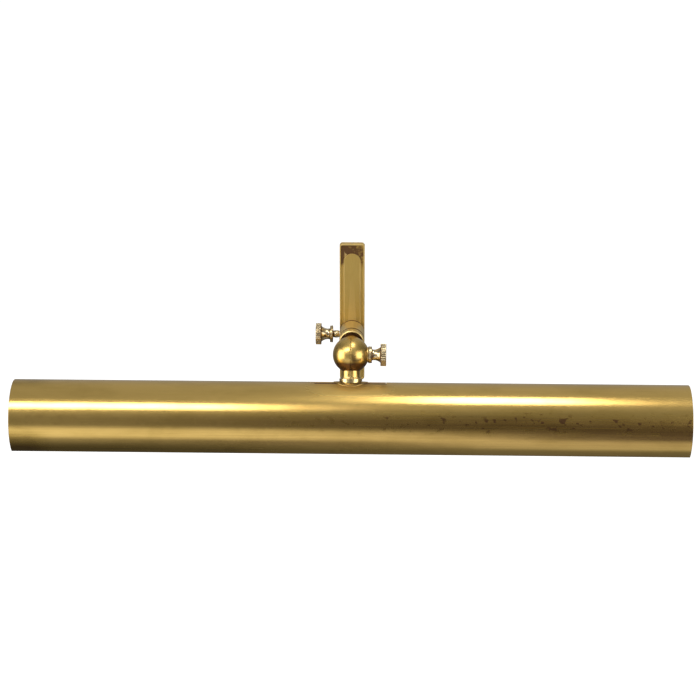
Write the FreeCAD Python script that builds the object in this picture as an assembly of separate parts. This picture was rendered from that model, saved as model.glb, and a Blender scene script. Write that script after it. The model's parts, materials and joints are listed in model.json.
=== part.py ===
import FreeCAD, Part
import math
import os

# Brass picture light: a long tubular shade hung from a split ball joint on a narrow backplate.
# Millimetres. X runs along the shade, -Y is the front, the wall or picture frame is the plane Y = 0
# and +Z is up. The origin is the middle of the two wall screw holes, on the back plane.
# The head (ball, neck, shade, lamps) is drawn in its own frame, with the ball's centre as origin
# and the neck along Z. It is then leaned forward and moved to the ball's place.

# Backplate and its strap
PLATE_WIDTH = 23.0
PLATE_HEIGHT = 136.8
PLATE_DEPTH = 5.0
PLATE_CORNER = 2.8
FIELD_CORNER = 1.8
PLATE_EDGE_ROUND = 1.0
PLATE_WALL = 1.6
PLATE_SKIN = 1.8
RIM_WIDTH = 1.15
FIELD_DEPTH = 0.5
PANEL_WIDTH = 15.6
PANEL_SPRING = 51.2
STRAP_THICKNESS = 1.2
STRAP_WIDTH = 19.2
STRAP_HALF_HEIGHT = 64.8
LUG_WIDTH = 8.0
LUG_REACH = 3.0
WALL_HOLE_SPACING = 100.0
WALL_HOLE_RADIUS = 2.25
WIRE_HOLE_RADIUS = 4.2
GRUB_Y = -1.7
GRUB_RADIUS = 1.0
GRUB_SOCKET = 0.9
DOG_RADIUS = 0.6
DOG_HOLE_RADIUS = 0.65
EARTH_Z = 14.0
EARTH_RADIUS = 1.8
EARTH_HEAD_RADIUS = 3.2
EARTH_HEAD = 1.7
EARTH_SLOT = 0.8
GROMMET_RADIUS = 5.6
GROMMET_FLANGE = 0.8
GROMMET_BORE = 3.2

# Round boss on the plate, with the swivel spigot inside it
BOSS_Z = -18.3
BOSS_RADIUS = 11.4
BOSS_LENGTH = 25.6
BOSS_FOOT = 1.3
END_RING_LENGTH = 6.7
TENON_RADIUS = 9.5
GROOVE = 1.0
GROOVE_DEPTH = 0.6
END_RING_BEVEL = 0.8
END_RING_MOUTH = 10.3
END_RING_FLARE = 1.6
BOSS_SCREW_PITCH = 9.4
BOSS_SCREW_RADIUS = 1.25
BOSS_SCREW_HEAD = 2.3
BOSS_SCREW_SINK = 1.0
BOSS_SCREW_REACH = 4.6
BUSH_RADIUS = 7.6
BUSH_FLANGE_RADIUS = 8.2
BUSH_FLANGE = 1.0
BUSH_FROM_END = 2.0
BUSH_FROM_PLATE = 4.5
SPIGOT_RADIUS = 6.0
SHOULDER_RADIUS = 7.2
SHOULDER_LENGTH = 1.5
SHOULDER_GAP = 0.3
SPIGOT_FROM_PLATE = 2.4
STEM_RADIUS = 4.0
WIRE_BORE = 2.2
WIRE_EXIT_RADIUS = 1.9
WIRE_EXIT_Y = 7.0
RING_GROOVE_RADIUS = 5.3
RING_RADIUS = 7.4
RING_SPACE_RADIUS = 7.9
RING_THICKNESS = 0.8
RING_FROM_PLATE = 4.2
RING_GAP = 2.4
SWIVEL_SCREW_FROM_PLATE = 7.0
SWIVEL_SCREW_RADIUS = 2.5
SCREW_GROOVE_WIDTH = 5.8
SCREW_GROOVE_DEPTH = 1.0

# Thumb-screws: each collar, waist and head is (length, radius)
SWIVEL_KNOB_STEM = (5.8, 3.4)
SWIVEL_KNOB_COLLAR = (2.7, 7.9)
SWIVEL_KNOB_WAIST = (8.0, 4.95)
SWIVEL_KNOB_HEAD = (5.2, 9.9)
TILT_KNOB_COLLAR = (3.3, 7.7)
TILT_KNOB_WAIST = (7.7, 4.85)
TILT_KNOB_HEAD = (5.3, 10.2)
KNOB_SCREW_DEPTH = 8.0
KNOB_STEM_ROUND = 0.3
KNOB_BREAK = 0.4
KNOB_HEAD_BREAK = 0.6
WAIST_FOOT = 0.25
WAIST_DIP_AT = 0.45
WAIST_DIP = 0.15
WAIST_FLARE = 2.3
FLUTES = 36
FLUTE_RADIUS = 0.55
FLUTE_OUTSIDE = 0.25

# Ball joint
BALL_FROM_PLATE = 51.9
BALL_RADIUS = 16.5
HALF_SEAM = 0.2
EYE_RADIUS = 12.0
EYE_HALF_THICKNESS = 3.0
POCKET_RADIUS = 12.5
POCKET_HALF_WIDTH = 3.6
FRICTION_WASHER = 0.5
FRICTION_WASHER_RADIUS = 11.5
TILT_SCREW_RADIUS = 3.0
TILT_SCREW_TIP_X = -10.5
TILT_WASHER_RADIUS = 7.0
TILT_FLAT_X = 14.7
TILT_KNOB_X = 15.7
TILT_BACK_DEG = 30.0
TILT_UP_DEG = 45.0
RUNNING = 0.05
CLEAR = 0.4

# Neck and what it stands on
LEAN_DEG = 25.0
NECK_RADIUS = 8.25
NECK_BOTTOM = -20.1
NIPPLE_RADIUS = 5.0
NIPPLE_BORE = 3.4
NIPPLE_BELOW_WEB = 5.2
LOCK_WASHER_RADIUS = 7.8
LOCK_WASHER = 0.8
LOCK_NUT_FLATS = 14.0
LOCK_NUT = 3.0
COLLAR_RADIUS = 10.4
COLLAR_HEIGHT = 12.0
COLLAR_STRAIGHT = 2.4
COLLAR_BEND = 1.1
COLLAR_LIP = 0.6
COLLAR_STEP = 0.8
SADDLE_RADIUS = 15.5
SADDLE_THICKNESS = 0.7

# Shade
BALL_TO_AXIS = 58.8
SHADE_LENGTH = 610.0
SHADE_RADIUS = 34.0
SHADE_WALL = 1.0
LIP_FRONT_DEG = -65.0
LIP_BACK_DEG = 155.0
WINDOW_LENGTH = 64.1
WINDOW_WIDTH = 18.5
CROWN_GAP = 0.25
END_CAP_INSET = 3.0
END_CAP_FLANGE = 4.0
END_CAP_SHEET = 1.0
END_CAP_FLANGE_SHEET = 0.8
END_CAP_DEG = 2.0

# Lampholders and lamps, one of each on either side of the neck
EAR_X = 17.0
SHEET = 1.5
EAR_RADIUS = 13.0
BRACKET_WIDTH = 16.0
EAR_HOLE_RADIUS = 4.0
HOLDER_SCREW_Y = 8.5
HOLDER_SCREW_RADIUS = 1.5
HOLDER_SCREW_HEAD = (1.8, 2.6)
HOLDER_SCREW_HOLE = 1.6
HOLDER_SCREW_REACH = 4.8
HOLDER_RADIUS = 17.0
HOLDER_LENGTH = 36.0
HOLDER_ROUND = 1.5
HOLDER_FLOOR = 6.0
SHELL_RADIUS = 13.4
SHELL_WALL = 0.4
SHELL_LENGTH = 25.0
CONTACT_HALF = 3.0
CONTACT_SHEET = 0.4
LAMP_BASE_RADIUS = 13.0
LAMP_BASE_X = 27.0
LAMP_BASE_LENGTH = 25.0
LAMP_BASE_WALL = 1.2
CAP_THREADS = 5
CAP_PITCH = 3.6
CAP_THREAD_DEPTH = 0.9
CAP_SKIRT = 0.6
INSULATOR_STEPS = ((-1.8, 3.5), (-1.1, 4.6), (0.0, 9.0))
LAMP_GLASS_RADIUS = 16.0
LAMP_LENGTH = 203.0
GLASS_WALL = 0.8
GLASS_IN_CAP = 15.0
GLASS_FLARE_START = 4.0
GLASS_FLARE = 12.0
STEM_GLASS_RADIUS = 3.5
SUPPORT_RADIUS = 0.6
COIL_RADIUS = 0.5
COIL_OFFSET = 4.5
HOOK_RADIUS = 0.35
HOOKS = 4
STEM_FROM_CAP = 8.0
STEM_GLASS_LENGTH = 32.0
SUPPORT_FROM_TIP = 14.0
LEAD_RADIUS = 1.1
LEAD_X = 1.7
LEAD_BEND = 6.4

AXIS_Z = -BALL_TO_AXIS
PLATE_FRONT = -PLATE_DEPTH
SKIN_BACK = PLATE_FRONT + PLATE_SKIN
BOSS_END = PLATE_FRONT - BOSS_LENGTH
BALL_Y = PLATE_FRONT - BALL_FROM_PLATE
SWIVEL_KNOB_X = BOSS_RADIUS + 0.3
ORIGIN = FreeCAD.Vector(0, 0, 0)
X_AXIS = FreeCAD.Vector(1, 0, 0)
Y_AXIS = FreeCAD.Vector(0, 1, 0)
Z_AXIS = FreeCAD.Vector(0, 0, 1)


# ---- shapes that several parts use ----


def vec(x, y, z):
    return FreeCAD.Vector(x, y, z)


def cyl_x(radius, x0, x1, y=0.0, z=0.0):
    return Part.makeCylinder(radius, x1 - x0, vec(x0, y, z), X_AXIS)


def cyl_y(radius, y0, y1, x=0.0, z=0.0):
    return Part.makeCylinder(radius, y1 - y0, vec(x, y0, z), Y_AXIS)


def cyl_z(radius, z0, z1, x=0.0, y=0.0):
    return Part.makeCylinder(radius, z1 - z0, vec(x, y, z0), Z_AXIS)


def box(x0, x1, y0, y1, z0, z1):
    return Part.makeBox(x1 - x0, y1 - y0, z1 - z0, vec(x0, y0, z0))


def join(shapes):
    return shapes[0].multiFuse(shapes[1:]).removeSplitter()


def mirrored_x(shape):
    return shape.mirror(ORIGIN, X_AXIS)


def lathe_x(steps):
    """Solid turned about X from (x, radius) steps; a step of four numbers is an arc through its
    first pair to its second."""
    start = vec(steps[0][0], 0, steps[0][1])
    here = start
    edges = []
    for step in steps[1:]:
        there = vec(step[-2], 0, step[-1])
        if len(step) == 4:
            edges.append(Part.Arc(here, vec(step[0], 0, step[1]), there).toShape())
        else:
            edges.append(Part.makeLine(here, there))
        here = there
    edges.append(Part.makeLine(here, start))
    return Part.Face(Part.Wire(edges)).revolve(ORIGIN, X_AXIS, 360)


def rounded_block(width, height, y0, y1, corner):
    """Upright slab centred on the Y axis, with its four edges along Y rounded."""
    slab = box(-width / 2, width / 2, y0, y1, -height / 2, height / 2)
    edges = [e for e in slab.Edges if abs(e.tangentAt(e.FirstParameter).y) > 0.9]
    return slab.makeFillet(corner, edges)


def hexagon_z(across_flats, z0, z1, x=0.0, y=0.0):
    radius = across_flats / math.sqrt(3)
    corners = []
    for side in range(7):
        turn = math.radians(60 * side)
        corners.append(vec(x + radius * math.cos(turn), y + radius * math.sin(turn), z0))
    return Part.Face(Part.makePolygon(corners)).extrude(vec(0, 0, z1 - z0))


def shade_point(radius, degrees, x):
    """Point about the shade's axis: 0 degrees is straight ahead of the neck, 90 is the crown."""
    turn = math.radians(degrees)
    return vec(x, -radius * math.cos(turn), AXIS_Z + radius * math.sin(turn))


def curved_sheet(inner, outer, start_deg, end_deg, x0, x1):
    """Part of a tube round the shade's axis, between two angles and two ends."""
    middle = (start_deg + end_deg) / 2
    outer_arc = Part.Arc(
        shade_point(outer, start_deg, x0),
        shade_point(outer, middle, x0),
        shade_point(outer, end_deg, x0),
    )
    inner_arc = Part.Arc(
        shade_point(inner, end_deg, x0),
        shade_point(inner, middle, x0),
        shade_point(inner, start_deg, x0),
    )
    end_edge = Part.makeLine(shade_point(outer, end_deg, x0), shade_point(inner, end_deg, x0))
    start_edge = Part.makeLine(shade_point(inner, start_deg, x0), shade_point(outer, start_deg, x0))
    wire = Part.Wire([outer_arc.toShape(), end_edge, inner_arc.toShape(), start_edge])
    return Part.Face(wire).extrude(vec(x1 - x0, 0, 0))


def place_head(shape):
    """From the head's own frame to the light's frame."""
    placed = shape.copy()
    placed.rotate(ORIGIN, X_AXIS, -LEAN_DEG)
    placed.translate(vec(0, BALL_Y, BOSS_Z))
    return placed


def save(name, shapes):
    if not isinstance(shapes, list):
        shapes = [shapes]
    solids = []
    for shape in shapes:
        solids.extend(shape.Solids)
    good = all(solid.isValid() and solid.isClosed() for solid in solids)
    volume = sum(solid.Volume for solid in solids) / 1000
    print(name, len(solids), "solid(s)", round(volume, 3), "cm3", "ok" if good else "BAD")
    whole = solids[0] if len(solids) == 1 else Part.makeCompound(solids)
    whole.exportStep("parts/" + name + ".step")


# ---- backplate ----


def boss_screw_cone(z):
    place = vec(0, SKIN_BACK, z)
    return Part.makeCone(BOSS_SCREW_HEAD, BOSS_SCREW_RADIUS, BOSS_SCREW_SINK, place, -Y_AXIS)


def backplate():
    body = rounded_block(PLATE_WIDTH, PLATE_HEIGHT, PLATE_FRONT, 0.0, PLATE_CORNER)
    front_edges = [e for e in body.Edges if e.BoundBox.YMax < PLATE_FRONT + 0.01]
    body = body.makeFillet(PLATE_EDGE_ROUND, front_edges)
    inner_width = PLATE_WIDTH - 2 * PLATE_WALL
    inner_height = PLATE_HEIGHT - 2 * PLATE_WALL
    pocket = rounded_block(inner_width, inner_height, SKIN_BACK, 1.0, PLATE_WALL)
    ahead = PLATE_FRONT - 1.0
    field_width = PLATE_WIDTH - 2 * RIM_WIDTH
    field_height = PLATE_HEIGHT - 2 * RIM_WIDTH
    field_floor = PLATE_FRONT + FIELD_DEPTH
    field = rounded_block(field_width, field_height, ahead, field_floor, FIELD_CORNER)
    half = PANEL_WIDTH / 2
    raised = [box(-half, half, ahead, 0.0, -PANEL_SPRING, PANEL_SPRING)]
    raised.append(cyl_y(half, ahead, 0.0, 0, PANEL_SPRING))
    raised.append(cyl_y(half, ahead, 0.0, 0, -PANEL_SPRING))
    raised.append(cyl_y(BOSS_RADIUS, ahead, 0.0, 0, BOSS_Z))
    field = field.cut(raised)
    tools = [pocket, field, cyl_y(WIRE_HOLE_RADIUS, ahead, 0.0, 0, BOSS_Z)]
    for side in (-1, 1):
        z = BOSS_Z + side * BOSS_SCREW_PITCH
        tools.append(cyl_y(BOSS_SCREW_RADIUS + RUNNING, ahead, 0.0, 0, z))
        tools.append(boss_screw_cone(z))
    tools.append(cyl_z(GRUB_RADIUS, STRAP_HALF_HEIGHT, PLATE_HEIGHT, 0, GRUB_Y))
    tools.append(cyl_z(GRUB_RADIUS, -PLATE_HEIGHT, -STRAP_HALF_HEIGHT, 0, GRUB_Y))
    return body.cut(tools)


def mounting_strap():
    pieces = [rounded_block(STRAP_WIDTH, 2 * STRAP_HALF_HEIGHT, -STRAP_THICKNESS, 0.0, 1.0)]
    low = STRAP_HALF_HEIGHT - STRAP_THICKNESS
    lug = box(-LUG_WIDTH / 2, LUG_WIDTH / 2, -LUG_REACH, -STRAP_THICKNESS / 2, low, STRAP_HALF_HEIGHT)
    pieces.append(lug)
    pieces.append(lug.mirror(ORIGIN, Z_AXIS))
    holes = [cyl_y(WIRE_HOLE_RADIUS, -5, 1, 0, BOSS_Z), cyl_y(EARTH_RADIUS, -5, 1, 0, EARTH_Z)]
    for end in (-1, 1):
        holes.append(cyl_y(WALL_HOLE_RADIUS, -5, 1, 0, end * WALL_HOLE_SPACING / 2))
    holes.append(cyl_z(DOG_HOLE_RADIUS, -PLATE_HEIGHT, PLATE_HEIGHT, 0, GRUB_Y))
    return join(pieces).cut(holes)


def strap_grub_screws():
    """Two dog-point socket screws through the plate's end walls into the strap's lugs."""
    top = PLATE_HEIGHT / 2 - 0.15
    thread = cyl_z(GRUB_RADIUS, STRAP_HALF_HEIGHT + 0.1, top, 0, GRUB_Y)
    dog = cyl_z(DOG_RADIUS, STRAP_HALF_HEIGHT - STRAP_THICKNESS, top - 1.5, 0, GRUB_Y)
    screw = join([thread, dog]).cut(hexagon_z(GRUB_SOCKET, top - 1.2, top + 1, 0, GRUB_Y))
    return [screw, screw.mirror(ORIGIN, Z_AXIS)]


def earth_screw():
    head_front = -STRAP_THICKNESS - EARTH_HEAD
    head = cyl_y(EARTH_HEAD_RADIUS, head_front, -STRAP_THICKNESS, 0, EARTH_Z)
    shank = cyl_y(EARTH_RADIUS, -STRAP_THICKNESS, 0.0, 0, EARTH_Z)
    half = EARTH_SLOT / 2
    slot = box(-4, 4, head_front - 1, head_front + EARTH_SLOT, EARTH_Z - half, EARTH_Z + half)
    return join([head, shank]).cut(slot)


def wire_grommet():
    flange = cyl_y(GROMMET_RADIUS, -STRAP_THICKNESS - GROMMET_FLANGE, -STRAP_THICKNESS, 0, BOSS_Z)
    body = cyl_y(WIRE_HOLE_RADIUS, -STRAP_THICKNESS, 0.0, 0, BOSS_Z)
    return join([flange, body]).cut(cyl_y(GROMMET_BORE, -5, 1, 0, BOSS_Z))


# ---- boss and swivel ----


def swivel_boss():
    """Foot flange on the plate, a shallow groove, the body, and a tenon for the end ring."""
    shoulder = BOSS_END + END_RING_LENGTH + GROOVE / 2
    foot = cyl_y(BOSS_RADIUS, PLATE_FRONT - BOSS_FOOT, PLATE_FRONT, 0, BOSS_Z)
    waist_front = PLATE_FRONT - BOSS_FOOT - GROOVE
    waist = cyl_y(BOSS_RADIUS - GROOVE_DEPTH, waist_front, PLATE_FRONT, 0, BOSS_Z)
    body = cyl_y(BOSS_RADIUS, shoulder, waist_front, 0, BOSS_Z)
    tenon = cyl_y(TENON_RADIUS, BOSS_END + BUSH_FROM_END, shoulder, 0, BOSS_Z)
    solid = join([foot, waist, body, tenon])
    tools = [cyl_y(BUSH_RADIUS, BOSS_END - 1, PLATE_FRONT, 0, BOSS_Z)]
    tools.append(cyl_y(RING_SPACE_RADIUS, PLATE_FRONT - BUSH_FROM_PLATE, 0.0, 0, BOSS_Z))
    for side in (-1, 1):
        z = BOSS_Z + side * BOSS_SCREW_PITCH
        tools.append(cyl_y(BOSS_SCREW_RADIUS, PLATE_FRONT - BOSS_SCREW_REACH - CLEAR, 0.0, 0, z))
    screw_y = PLATE_FRONT - SWIVEL_SCREW_FROM_PLATE
    tools.append(cyl_x(SWIVEL_SCREW_RADIUS + RUNNING, -20, 0, screw_y, BOSS_Z))
    return solid.cut(tools)


def boss_end_ring():
    """Ring screwed on the boss's front end, with a bevelled rim."""
    back = BOSS_END + END_RING_LENGTH - GROOVE / 2
    ring = cyl_y(BOSS_RADIUS, BOSS_END, back, 0, BOSS_Z)
    rim = [e for e in ring.Edges if e.BoundBox.YMax < BOSS_END + 0.01]
    ring = ring.makeChamfer(END_RING_BEVEL, rim)
    front = vec(0, BOSS_END, BOSS_Z)
    mouth = Part.makeCone(END_RING_MOUTH, TENON_RADIUS, END_RING_FLARE, front, Y_AXIS)
    return ring.cut([mouth, cyl_y(TENON_RADIUS, BOSS_END - 1, 0, 0, BOSS_Z)])


def boss_screws():
    screws = []
    for side in (-1, 1):
        z = BOSS_Z + side * BOSS_SCREW_PITCH
        shank = cyl_y(BOSS_SCREW_RADIUS, PLATE_FRONT - BOSS_SCREW_REACH, SKIN_BACK, 0, z)
        slot = box(-3, 3, SKIN_BACK - 0.5, SKIN_BACK + 1, z - 0.3, z + 0.3)
        screws.append(join([boss_screw_cone(z), shank]).cut(slot))
    return screws


def swivel_bush():
    front = BOSS_END + BUSH_FROM_END
    flange = cyl_y(BUSH_FLANGE_RADIUS, front - BUSH_FLANGE, front, 0, BOSS_Z)
    body = cyl_y(BUSH_RADIUS, front, PLATE_FRONT - BUSH_FROM_PLATE, 0, BOSS_Z)
    bore = cyl_y(SPIGOT_RADIUS + RUNNING, BOSS_END - 1, 0, 0, BOSS_Z)
    screw_y = PLATE_FRONT - SWIVEL_SCREW_FROM_PLATE
    side_hole = cyl_x(SWIVEL_SCREW_RADIUS + RUNNING, -20, 0, screw_y, BOSS_Z)
    return join([flange, body]).cut([bore, side_hole])


def spigot_groove(floor_radius, front, back):
    ring = cyl_y(SPIGOT_RADIUS + 1, front, back, 0, BOSS_Z)
    return ring.cut(cyl_y(floor_radius, front - 1, back + 1, 0, BOSS_Z))


def swivel_tongue():
    """Hollow spigot that turns in the bush, a stem, and the eye inside the ball."""
    shoulder_back = BOSS_END + BUSH_FROM_END - BUSH_FLANGE - SHOULDER_GAP
    shoulder_front = shoulder_back - SHOULDER_LENGTH
    spigot_back = PLATE_FRONT - SPIGOT_FROM_PLATE
    screw_y = PLATE_FRONT - SWIVEL_SCREW_FROM_PLATE
    spigot = cyl_y(SPIGOT_RADIUS, shoulder_front, spigot_back, 0, BOSS_Z)
    shoulder = cyl_y(SHOULDER_RADIUS, shoulder_front, shoulder_back, 0, BOSS_Z)
    stem = cyl_y(STEM_RADIUS, BALL_Y + 6.0, shoulder_front, 0, BOSS_Z)
    eye = cyl_x(EYE_RADIUS, -EYE_HALF_THICKNESS, EYE_HALF_THICKNESS, BALL_Y, BOSS_Z)
    for side in (-1, 1):
        cheek = box(EYE_HALF_THICKNESS, 10, BALL_Y, BALL_Y + POCKET_RADIUS, BOSS_Z - 10, BOSS_Z + 10)
        stem = stem.cut(cheek if side > 0 else mirrored_x(cheek))
    half = SCREW_GROOVE_WIDTH / 2
    screw_groove = spigot_groove(SPIGOT_RADIUS - SCREW_GROOVE_DEPTH, screw_y - half, screw_y + half)
    ring_front = PLATE_FRONT - RING_FROM_PLATE
    ring_groove = spigot_groove(RING_GROOVE_RADIUS, ring_front, ring_front + RING_THICKNESS)
    exit_y = BALL_Y + WIRE_EXIT_Y
    wire_bore = cyl_y(WIRE_BORE, exit_y, 0, 0, BOSS_Z)
    wire_exit = cyl_z(WIRE_EXIT_RADIUS, BOSS_Z - 20, BOSS_Z, 0, exit_y)
    screw_hole = cyl_x(TILT_SCREW_RADIUS + RUNNING, -10, 10, BALL_Y, BOSS_Z)
    solid = join([spigot, shoulder, stem, eye])
    return solid.cut([screw_groove, ring_groove, wire_bore, wire_exit, screw_hole])


def spigot_retaining_ring():
    """Open snap ring in the spigot's rear groove."""
    front = PLATE_FRONT - RING_FROM_PLATE
    ring = cyl_y(RING_RADIUS, front, front + RING_THICKNESS, 0, BOSS_Z)
    half = RING_GAP / 2
    gap = box(-half, half, front - 1, front + 2, BOSS_Z, BOSS_Z + 10)
    return ring.cut([cyl_y(RING_GROOVE_RADIUS, front - 1, front + 2, 0, BOSS_Z), gap])


# ---- thumb-screws ----


def thumb_knob(start_x, stem, collar, waist, head, bore_radius):
    """Knob turned about X, growing outwards: stem, collar disc, hollow waist and fluted head."""
    x = start_x
    steps = [(x, 0.0)]
    if stem:
        neck = stem[1] - KNOB_STEM_ROUND
        steps.append((x, neck))
        steps.append((x + stem[0] / 2, stem[1], x + stem[0], neck))
        x = x + stem[0]
    steps.append((x, collar[1] - KNOB_BREAK))
    steps.append((x + KNOB_BREAK, collar[1]))
    x = x + collar[0]
    steps.append((x - KNOB_BREAK, collar[1]))
    steps.append((x, collar[1] - KNOB_BREAK))
    steps.append((x, waist[1] + WAIST_FOOT))
    dip_x = x + WAIST_DIP_AT * waist[0]
    x = x + waist[0]
    steps.append((dip_x, waist[1] + WAIST_DIP, x, waist[1] + WAIST_FLARE))
    steps.append((x, head[1] - KNOB_HEAD_BREAK))
    steps.append((x + KNOB_HEAD_BREAK, head[1]))
    x = x + head[0]
    steps.append((x - KNOB_HEAD_BREAK, head[1]))
    steps.append((x, head[1] - KNOB_HEAD_BREAK))
    steps.append((x, 0.0))
    tools = [cyl_x(bore_radius, start_x - 1, start_x + KNOB_SCREW_DEPTH)]
    ring = head[1] + FLUTE_OUTSIDE
    for flute in range(FLUTES):
        turn = 2 * math.pi * flute / FLUTES
        y = ring * math.cos(turn)
        z = ring * math.sin(turn)
        tools.append(cyl_x(FLUTE_RADIUS, x - head[0] - 1, x + 1, y, z))
    return lathe_x(steps).cut(tools)


def swivel_knob_head():
    """Grows outwards from the boss's left side."""
    knob = thumb_knob(
        SWIVEL_KNOB_X,
        SWIVEL_KNOB_STEM,
        SWIVEL_KNOB_COLLAR,
        SWIVEL_KNOB_WAIST,
        SWIVEL_KNOB_HEAD,
        SWIVEL_SCREW_RADIUS,
    )
    knob = mirrored_x(knob)
    knob.translate(vec(0, PLATE_FRONT - SWIVEL_SCREW_FROM_PLATE, BOSS_Z))
    return knob


def swivel_knob_screw():
    tip = SPIGOT_RADIUS - SCREW_GROOVE_DEPTH + 0.3
    end = SWIVEL_KNOB_X + KNOB_SCREW_DEPTH
    screw_y = PLATE_FRONT - SWIVEL_SCREW_FROM_PLATE
    return cyl_x(SWIVEL_SCREW_RADIUS, -end, -tip, screw_y, BOSS_Z)


def tilt_knob_head():
    return thumb_knob(
        TILT_KNOB_X, None, TILT_KNOB_COLLAR, TILT_KNOB_WAIST, TILT_KNOB_HEAD, TILT_SCREW_RADIUS
    )


def tilt_knob_screw():
    return cyl_x(TILT_SCREW_RADIUS, TILT_SCREW_TIP_X, TILT_KNOB_X + KNOB_SCREW_DEPTH)


def tilt_washer():
    ring = cyl_x(TILT_WASHER_RADIUS, TILT_FLAT_X, TILT_KNOB_X - 0.1)
    return ring.cut(cyl_x(TILT_SCREW_RADIUS + CLEAR, 0, 20))


# ---- ball and neck, in the head's frame ----


def stem_slot():
    """Room for the stem in the back of the ball over the whole tilt."""
    low = LEAN_DEG - TILT_BACK_DEG
    high = LEAN_DEG + TILT_UP_DEG
    half = STEM_RADIUS + CLEAR
    reach = BALL_RADIUS + 2.0
    pieces = []
    for degrees in (low, high):
        turn = math.radians(degrees)
        way = vec(0, math.cos(turn), math.sin(turn))
        pieces.append(Part.makeCylinder(half, reach, ORIGIN, way))
    first = math.radians(low)
    middle = math.radians((low + high) / 2)
    last = math.radians(high)
    start = vec(-half, reach * math.cos(first), reach * math.sin(first))
    bulge = vec(-half, reach * math.cos(middle), reach * math.sin(middle))
    stop = vec(-half, reach * math.cos(last), reach * math.sin(last))
    profile = [
        Part.makeLine(vec(-half, 0, 0), start),
        Part.Arc(start, bulge, stop).toShape(),
        Part.makeLine(stop, vec(-half, 0, 0)),
    ]
    pieces.append(Part.Face(Part.Wire(profile)).extrude(vec(2 * half, 0, 0)))
    return join(pieces)


def ball_and_neck():
    solid = join([Part.makeSphere(BALL_RADIUS), cyl_z(NECK_RADIUS, NECK_BOTTOM, 0.0)])
    pocket = cyl_x(POCKET_RADIUS, -POCKET_HALF_WIDTH, POCKET_HALF_WIDTH)
    nipple_way = cyl_z(NIPPLE_RADIUS, NECK_BOTTOM - 1, -8.0)
    screw_way = cyl_x(TILT_SCREW_RADIUS + RUNNING, TILT_SCREW_TIP_X - 1.0, 20.0)
    flat = box(TILT_FLAT_X, 20, -20, 20, -20, 20)
    return solid.cut([pocket, stem_slot(), nipple_way, screw_way, flat])


def ball_half(side):
    whole = ball_and_neck()
    if side < 0:
        return whole.common(box(-20, -HALF_SEAM, -20, 20, -30, 20))
    return whole.common(box(HALF_SEAM, 20, -20, 20, -30, 20))


def friction_washers():
    outer = POCKET_HALF_WIDTH
    ring = cyl_x(FRICTION_WASHER_RADIUS, outer - FRICTION_WASHER, outer)
    ring = ring.cut(cyl_x(TILT_SCREW_RADIUS + CLEAR, 0, 10))
    return [ring, mirrored_x(ring)]


def neck_collar():
    """Turned collar under the neck, its foot shaped to the saddle washer."""
    foot = NECK_BOTTOM - COLLAR_HEIGHT
    step = NECK_RADIUS + COLLAR_LIP + 0.4
    steps = [(foot, 0.0), (foot, COLLAR_RADIUS)]
    steps.append((NECK_BOTTOM - COLLAR_STRAIGHT, COLLAR_RADIUS))
    steps.append((NECK_BOTTOM - COLLAR_BEND, COLLAR_RADIUS - 0.2, NECK_BOTTOM - COLLAR_STEP, step))
    steps.append((NECK_BOTTOM, NECK_RADIUS + COLLAR_LIP))
    steps.append((NECK_BOTTOM, 0.0))
    collar = lathe_x(steps)
    collar.rotate(ORIGIN, Y_AXIS, -90)
    saddle_top = cyl_x(SHADE_RADIUS + SADDLE_THICKNESS + RUNNING, -20, 20, 0, AXIS_Z)
    return collar.cut([saddle_top, cyl_z(NIPPLE_RADIUS, -40, 0)])


def saddle_washer():
    sheet = curved_sheet(SHADE_RADIUS, SHADE_RADIUS + SADDLE_THICKNESS, 55, 125, -20, 20)
    return sheet.common(cyl_z(SADDLE_RADIUS, -40, 0)).cut(cyl_z(NIPPLE_RADIUS, -40, 0))


def crown_plate():
    """Curved plate let into the shade's crown, flush with it."""
    length = WINDOW_LENGTH - 2 * CROWN_GAP
    width = WINDOW_WIDTH - 2 * CROWN_GAP
    sheet = curved_sheet(SHADE_RADIUS - SHADE_WALL, SHADE_RADIUS, 60, 120, -length / 2, length / 2)
    block = box(-length, length, -width / 2, width / 2, -60, 0)
    return sheet.common(block).cut(cyl_z(NIPPLE_RADIUS, -40, 0))


def bracket_top():
    """Height of the bracket's web, which touches the crown plate along its two long edges."""
    inner = SHADE_RADIUS - SHADE_WALL
    return AXIS_Z + math.sqrt(inner ** 2 - (BRACKET_WIDTH / 2) ** 2) - 0.02


def neck_nipple():
    bottom = bracket_top() - SHEET - NIPPLE_BELOW_WEB
    return cyl_z(NIPPLE_RADIUS, bottom, -POCKET_RADIUS - 0.1).cut(cyl_z(NIPPLE_BORE, -60, 0))


def nipple_lock_washer():
    top = bracket_top() - SHEET
    return cyl_z(LOCK_WASHER_RADIUS, top - LOCK_WASHER, top).cut(cyl_z(NIPPLE_RADIUS, -60, 0))


def nipple_lock_nut():
    top = bracket_top() - SHEET - LOCK_WASHER
    return hexagon_z(LOCK_NUT_FLATS, top - LOCK_NUT, top).cut(cyl_z(NIPPLE_RADIUS, -60, 0))


# ---- shade ----


def shade_shell():
    half = SHADE_LENGTH / 2
    inner = SHADE_RADIUS - SHADE_WALL
    sheet = curved_sheet(inner, SHADE_RADIUS, LIP_FRONT_DEG, LIP_BACK_DEG, -half, half)
    reach = WINDOW_LENGTH / 2
    window = box(-reach, reach, -WINDOW_WIDTH / 2, WINDOW_WIDTH / 2, AXIS_Z + 25, 0)
    return sheet.cut(window)


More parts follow.
